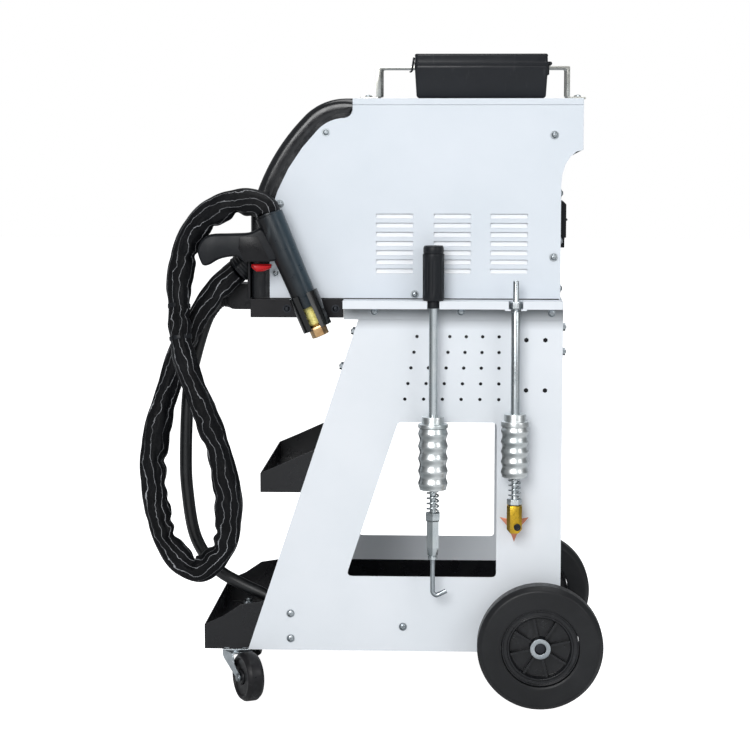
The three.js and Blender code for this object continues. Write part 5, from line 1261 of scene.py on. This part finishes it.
# The catch's lower end leans out from the box as a finger tab
clasp = pressed_sheet("toolbox_clasp", 0.6)
clasp_top = max(vertex.co.z for vertex in clasp.verts)
for vertex in clasp.verts:
    vertex.co.x -= (clasp_top - vertex.co.z) * 0.16
dressed("toolbox_clasp", clasp, BOX_PLASTIC, "toolbox_clasp")
knuckles = [block(7.1, 9, (y - 8, y + 8), BOX_RIM - 14, BOX_RIM - 1, 0.5) for y in (-130, -103, -76)]
finished("hinge_leaf", joined(*knuckles), BOX_PLASTIC)

# Welding gun


def flats(count, amount):
    """A round section with soft flats."""
    slice_angle = TURN / count

    def shape(angle, height):
        off = (angle + slice_angle / 2) % slice_angle - slice_angle / 2
        return 1 - amount + amount * math.cos(slice_angle / 2) / math.cos(off)
    return shape


def by_gun(outline):
    """An outline from the gun's tail, as X and Z."""
    return [(GUN_TAIL_PLACE[0] + x, GUN_TAIL_PLACE[2] + z) for x, z in outline]


GUN_Y = GUN_TAIL_PLACE[1]
BARREL_PROFILE = [
    (0, -4), (19.4, -4), (19.5, -0.6), (22.5, 0), (19.5, 134), (19.5, 155), (18.6, 156), (0, 156)]
CHUCK_PROFILE = [
    (0, 156.3), (10, 156.3), (10, 162), (8.6, 163), (8.6, 167), (10, 168), (10, 173), (8.6, 174),
    (8.6, 178), (10, 179), (9.6, 183), (8, 185.3), (0, 185.3)]
TIP_PROFILE = [(0, 185.4), (8, 185.4), (13.4, 189), (14, 192), (14, 204.6), (12.6, 205.3), (0, 205.3)]
GRIP_OUTLINE = [
    (-10, -20), (-31, -27), (-60, -28.5), (-91, -30), (-105, -39), (-112, -55), (-107, -73), (-102, -79),
    (-93, -77.5), (-80, -70), (-66, -66), (-50, -65), (-40, -71), (-20, -71.5), (10, -71.5), (14, -60),
    (4, -40)]
HOUSING_OUTLINE = [(-45, -32), (-16, -32), (4, -72), (-38, -72), (-47, -52)]
TRIGGER_OUTLINE = [(-28, -76.3), (4.5, -76.3), (3, -83), (-8, -88), (-20, -88.6), (-27.6, -82)]

barrel = lathe(BARREL_PROFILE, 0.9, GUN_TAIL, GUN_AXIS, 80, shape=flats(8, 0.1))
dressed("gun_barrel", barrel, GUN_PLASTIC, sharp=30)
grip = pillow(smooth_loop(by_gun(GRIP_OUTLINE), 4), GUN_Y, 15.2, 4.6, 6)
dressed("gun_grip", grip, GRIP_RUBBER, sharp=60)
housing = plate(by_gun(HOUSING_OUTLINE), (GUN_Y - 15.5, GUN_Y + 15.5), 1.4, 3)
finished("switch_housing", housing, HOUSING_PLASTIC)
trigger = pillow(filleted(by_gun(TRIGGER_OUTLINE), 1.6, 3, closed=True), GUN_Y, 8, 2.6, 4)
dressed("gun_trigger", trigger, RED_PLASTIC, "gun_trigger", 50)
chuck = lathe(CHUCK_PROFILE, 0.5, GUN_TAIL, GUN_AXIS, steps=2)
finished("gun_chuck_finished", chuck, CHUCK_BRASS, sharp=30, nodes=["gun_electrode"])
finished("gun_tip", lathe(TIP_PROFILE, 0.8, GUN_TAIL, GUN_AXIS, steps=2, shape=flats(6, 0.8)), BRONZE)
rolled("gun_arm", 0.6, BLACK_PAINT)
rolled("gun_cradle", 0.8, GUARD_PAINT, 3, 30)

# Slide hammers

HAMMER_Y = -203
HOOK_X, STAR_X = -171, -42
HOOK, STAR = at(HOOK_X, HAMMER_Y, 0), at(STAR_X, HAMMER_Y, 0)
BULGES = 5


def bulged_weight(radius, nut_radius, bore, top, nut_bottom, flange_bottom, bottom, waist):
    """A turned weight with a collar on top and hollows for the hand."""
    points = [(bore, top), (nut_radius, top), (nut_radius, nut_bottom), (radius, nut_bottom - 0.3),
              (radius, flange_bottom)]
    soft = [tuple(p) for p in filleted(points, 1.0, 2)]
    pitch = (flange_bottom - bottom) / BULGES
    for i in range(BULGES):
        for k in range(1, 13):
            share = k / 12
            dip = waist * (0.5 + 0.5 * math.cos(TURN * share)) ** 0.8
            soft.append((radius - dip, flange_bottom - (i + share) * pitch))
    return soft + [(radius - waist - 1, bottom - 0.05), (bore, bottom)]


def spring_points(x, radius, wire, low, high, turns=4, steps=28):
    reach = radius - wire / 2
    points = []
    for i in range(turns * steps + 1):
        angle = TURN * i / steps
        rise = low + wire / 2 + 0.3 + (high - low - wire - 0.6) * i / (turns * steps)
        points.append(at(x + reach * math.cos(angle), HAMMER_Y + reach * math.sin(angle), rise))
    return points


for name, root, sizes in (("hook", HOOK, (23.5, 17.5, 7.1, 465, 454, 448, 349, 2.5)),
                          ("star", STAR, (22, 17, 7.3, 470, 459, 451, 370, 2.2))):
    weight = turned(bulged_weight(*sizes), root, UP, 72)
    dressed(name + "_hammer_weight", weight, WEIGHT_STEEL, name + "_weight", 40)
for name, x, radius, wire, low, high in (("hook", HOOK_X, 10.2, 3, 312, 349),
                                         ("star", STAR_X, 10, 2.8, 335, 370)):
    coil = swept(spring_points(x, radius, wire, low, high), wire / 2, 12)
    dressed(name + "_hammer_spring", coil, ROD_STEEL, name + "_hammer", 180)


def hexagonal(angle, first):
    """The share of its round radius that a hexagon has at an angle."""
    off = (angle + first) % (math.pi / 3) - math.pi / 6
    return math.cos(math.pi / 6) / math.cos(off)


def hook_adapter(angle, height):
    """Six flats on the adapter between the spring's seat and the lower nut, round elsewhere."""
    return hexagonal(angle, 0) * 1.06 if 245.5 < height <= 313 else 1


def star_nuts(angle, height):
    return hexagonal(angle, math.pi / 6) if 636 <= height <= 647.1 or height <= 335 else 1


def grip_flutes(angle, height):
    fade = clipped(min(max((height - 656) / 8, 0), max((716 - height) / 6, 0)))
    return 1 - 0.05 * fade * max(math.cos(12 * angle), 0) ** 2


HOOK_ROD = [
    (0, 236), (6.8, 236), (7.5, 236.8), (7.5, 241), (6.3, 241.8), (6.3, 242.6), (7.9, 243.6), (10.2, 256),
    (10.2, 298), (12, 300.5), (12, 311), (11, 312), (5.2, 312.3), (5.2, 349), (6.8, 354), (6.8, 638),
    (8.4, 638.4), (8.4, 648), (6.8, 648.2), (6.8, 721.7), (0, 721.7)]
FERRULE = [(8.5, 636.4), (9, 636.4), (9.4, 637.6), (9.4, 648.1), (8.5, 648.1)]
GRIP_ROWS = [(0, 648.4), (15.4, 648.4), (16.8, 650)] + [(17, z) for z in range(652, 722, 2)] + [
    (16.6, 721.8), (15.4, 722.3), (15.6, 723), (16, 724), (16, 731), (14.4, 734.4), (0, 735)]
STAR_ROD = [
    (0, 325.2), (11, 325.2), (12, 326.2), (12, 334), (11, 335), (5, 335.3), (5, 370), (7, 375), (7, 631),
    (4.6, 631.3), (4.6, 635.9), (9.2, 636), (10, 637), (10, 646), (9.2, 647), (4.6, 647.3), (4.6, 678.5),
    (3.6, 680), (0, 680)]
rod = lathe(HOOK_ROD, 0.7, HOOK, UP, steps=2, shape=hook_adapter)
dressed("hook_hammer_rod", rod, ROD_STEEL, "hook_hammer", 25)
finished("hook_hammer_ferrule", lathe(FERRULE, 0.4, HOOK, UP, steps=2), GRIP_RUBBER, "hook_hammer")
dressed("hook_hammer_grip", turned(GRIP_ROWS, HOOK, UP, 96, grip_flutes), GRIP_RUBBER, "hook_hammer", 40)

HOOK_TOP, HOOK_DROP, HOOK_BEND, HOOK_ARM, HOOK_RISE, HOOK_WIRE = 235.7, 57, 7, 22, 7, 3.75


def pull_hook():
    """Round wire that drops, turns sharply and ends in a flattened claw."""
    low = HOOK_TOP - HOOK_DROP
    places = [(0, HOOK_TOP), (0, HOOK_TOP - HOOK_DROP / 2)]
    for i in range(6):
        angle = math.pi / 2 * i / 5
        places.append((HOOK_BEND * (1 - math.cos(angle)), low + HOOK_BEND * (1 - math.sin(angle))))
    places.append((HOOK_ARM, low + HOOK_RISE))
    path = curve_through([at(HOOK_X + x, HAMMER_Y, z) for x, z in places], 1.6)
    total = length_of(path)

    def radius(run, angle, bend):
        share = clipped((run / total - 0.84) / 0.12)
        return HOOK_WIRE * (1 - share * 0.45 * abs(math.cos(angle)))
    dressed("hook_hammer_hook", swept(path, radius, 20), ZINC, "hook_hammer", 60)


pull_hook()
rod = lathe(STAR_ROD, 0.5, STAR, UP, steps=2, shape=star_nuts)
dressed("star_hammer_rod", rod, ROD_STEEL, "star_hammer", 25)

STAR_HALF, STAR_TOP, STAR_BOTTOM, STAR_CHAMFER = 12, 324.7, 281, 6
STAR_Z, STAR_REACH, STAR_NOTCH = 289.5, 26.6, 9
SCREW_PROFILE = [(0, -0.5), (5.5, -0.5), (5.5, 3.6), (4.7, 4.2), (2.8, 4.2), (2.8, 1.6), (0, 1.6)]

left, right = STAR_X - STAR_HALF, STAR_X + STAR_HALF
block_outline = [(left, STAR_TOP), (left, STAR_BOTTOM + STAR_CHAMFER), (left + STAR_CHAMFER, STAR_BOTTOM),
                 (right - STAR_CHAMFER, STAR_BOTTOM), (right, STAR_BOTTOM + STAR_CHAMFER), (right, STAR_TOP)]
star_block = plate(block_outline, (HAMMER_Y - STAR_HALF, HAMMER_Y + STAR_HALF))
long_edges = [e for e in star_block.edges if abs((e.verts[0].co - e.verts[1].co).z) > 30 * MM]
bmesh.ops.bevel(star_block, geom=long_edges, offset=5 * MM, segments=1, profile=0.5, affect="EDGES")
rounded = rounded_edges(star_block, 0.6, 2, 20)
finished("star_block_finished", rounded, BRASS, "star_hammer", 25, ["star_hammer_block"])

star_points = []
for i in range(6):
    angle, reach = math.radians(150 - i * 60), (STAR_REACH, STAR_NOTCH)[i % 2]
    star_points.append((STAR_X + reach * math.cos(angle), STAR_Z + reach * math.sin(angle)))
star = plate(star_points, (HAMMER_Y + 12.3, HAMMER_Y + 15.3), 0.5)
finished("star_plate_finished", star, COPPER, "star_hammer", nodes=["star_hammer_star"])
socket_screw = lathe(SCREW_PROFILE, 0.4, at(-37.5, HAMMER_Y - STAR_HALF, 291.6), NEAR, 36, 2)
finished("star_clamp_screw", socket_screw, DARK_STEEL, "star_hammer")
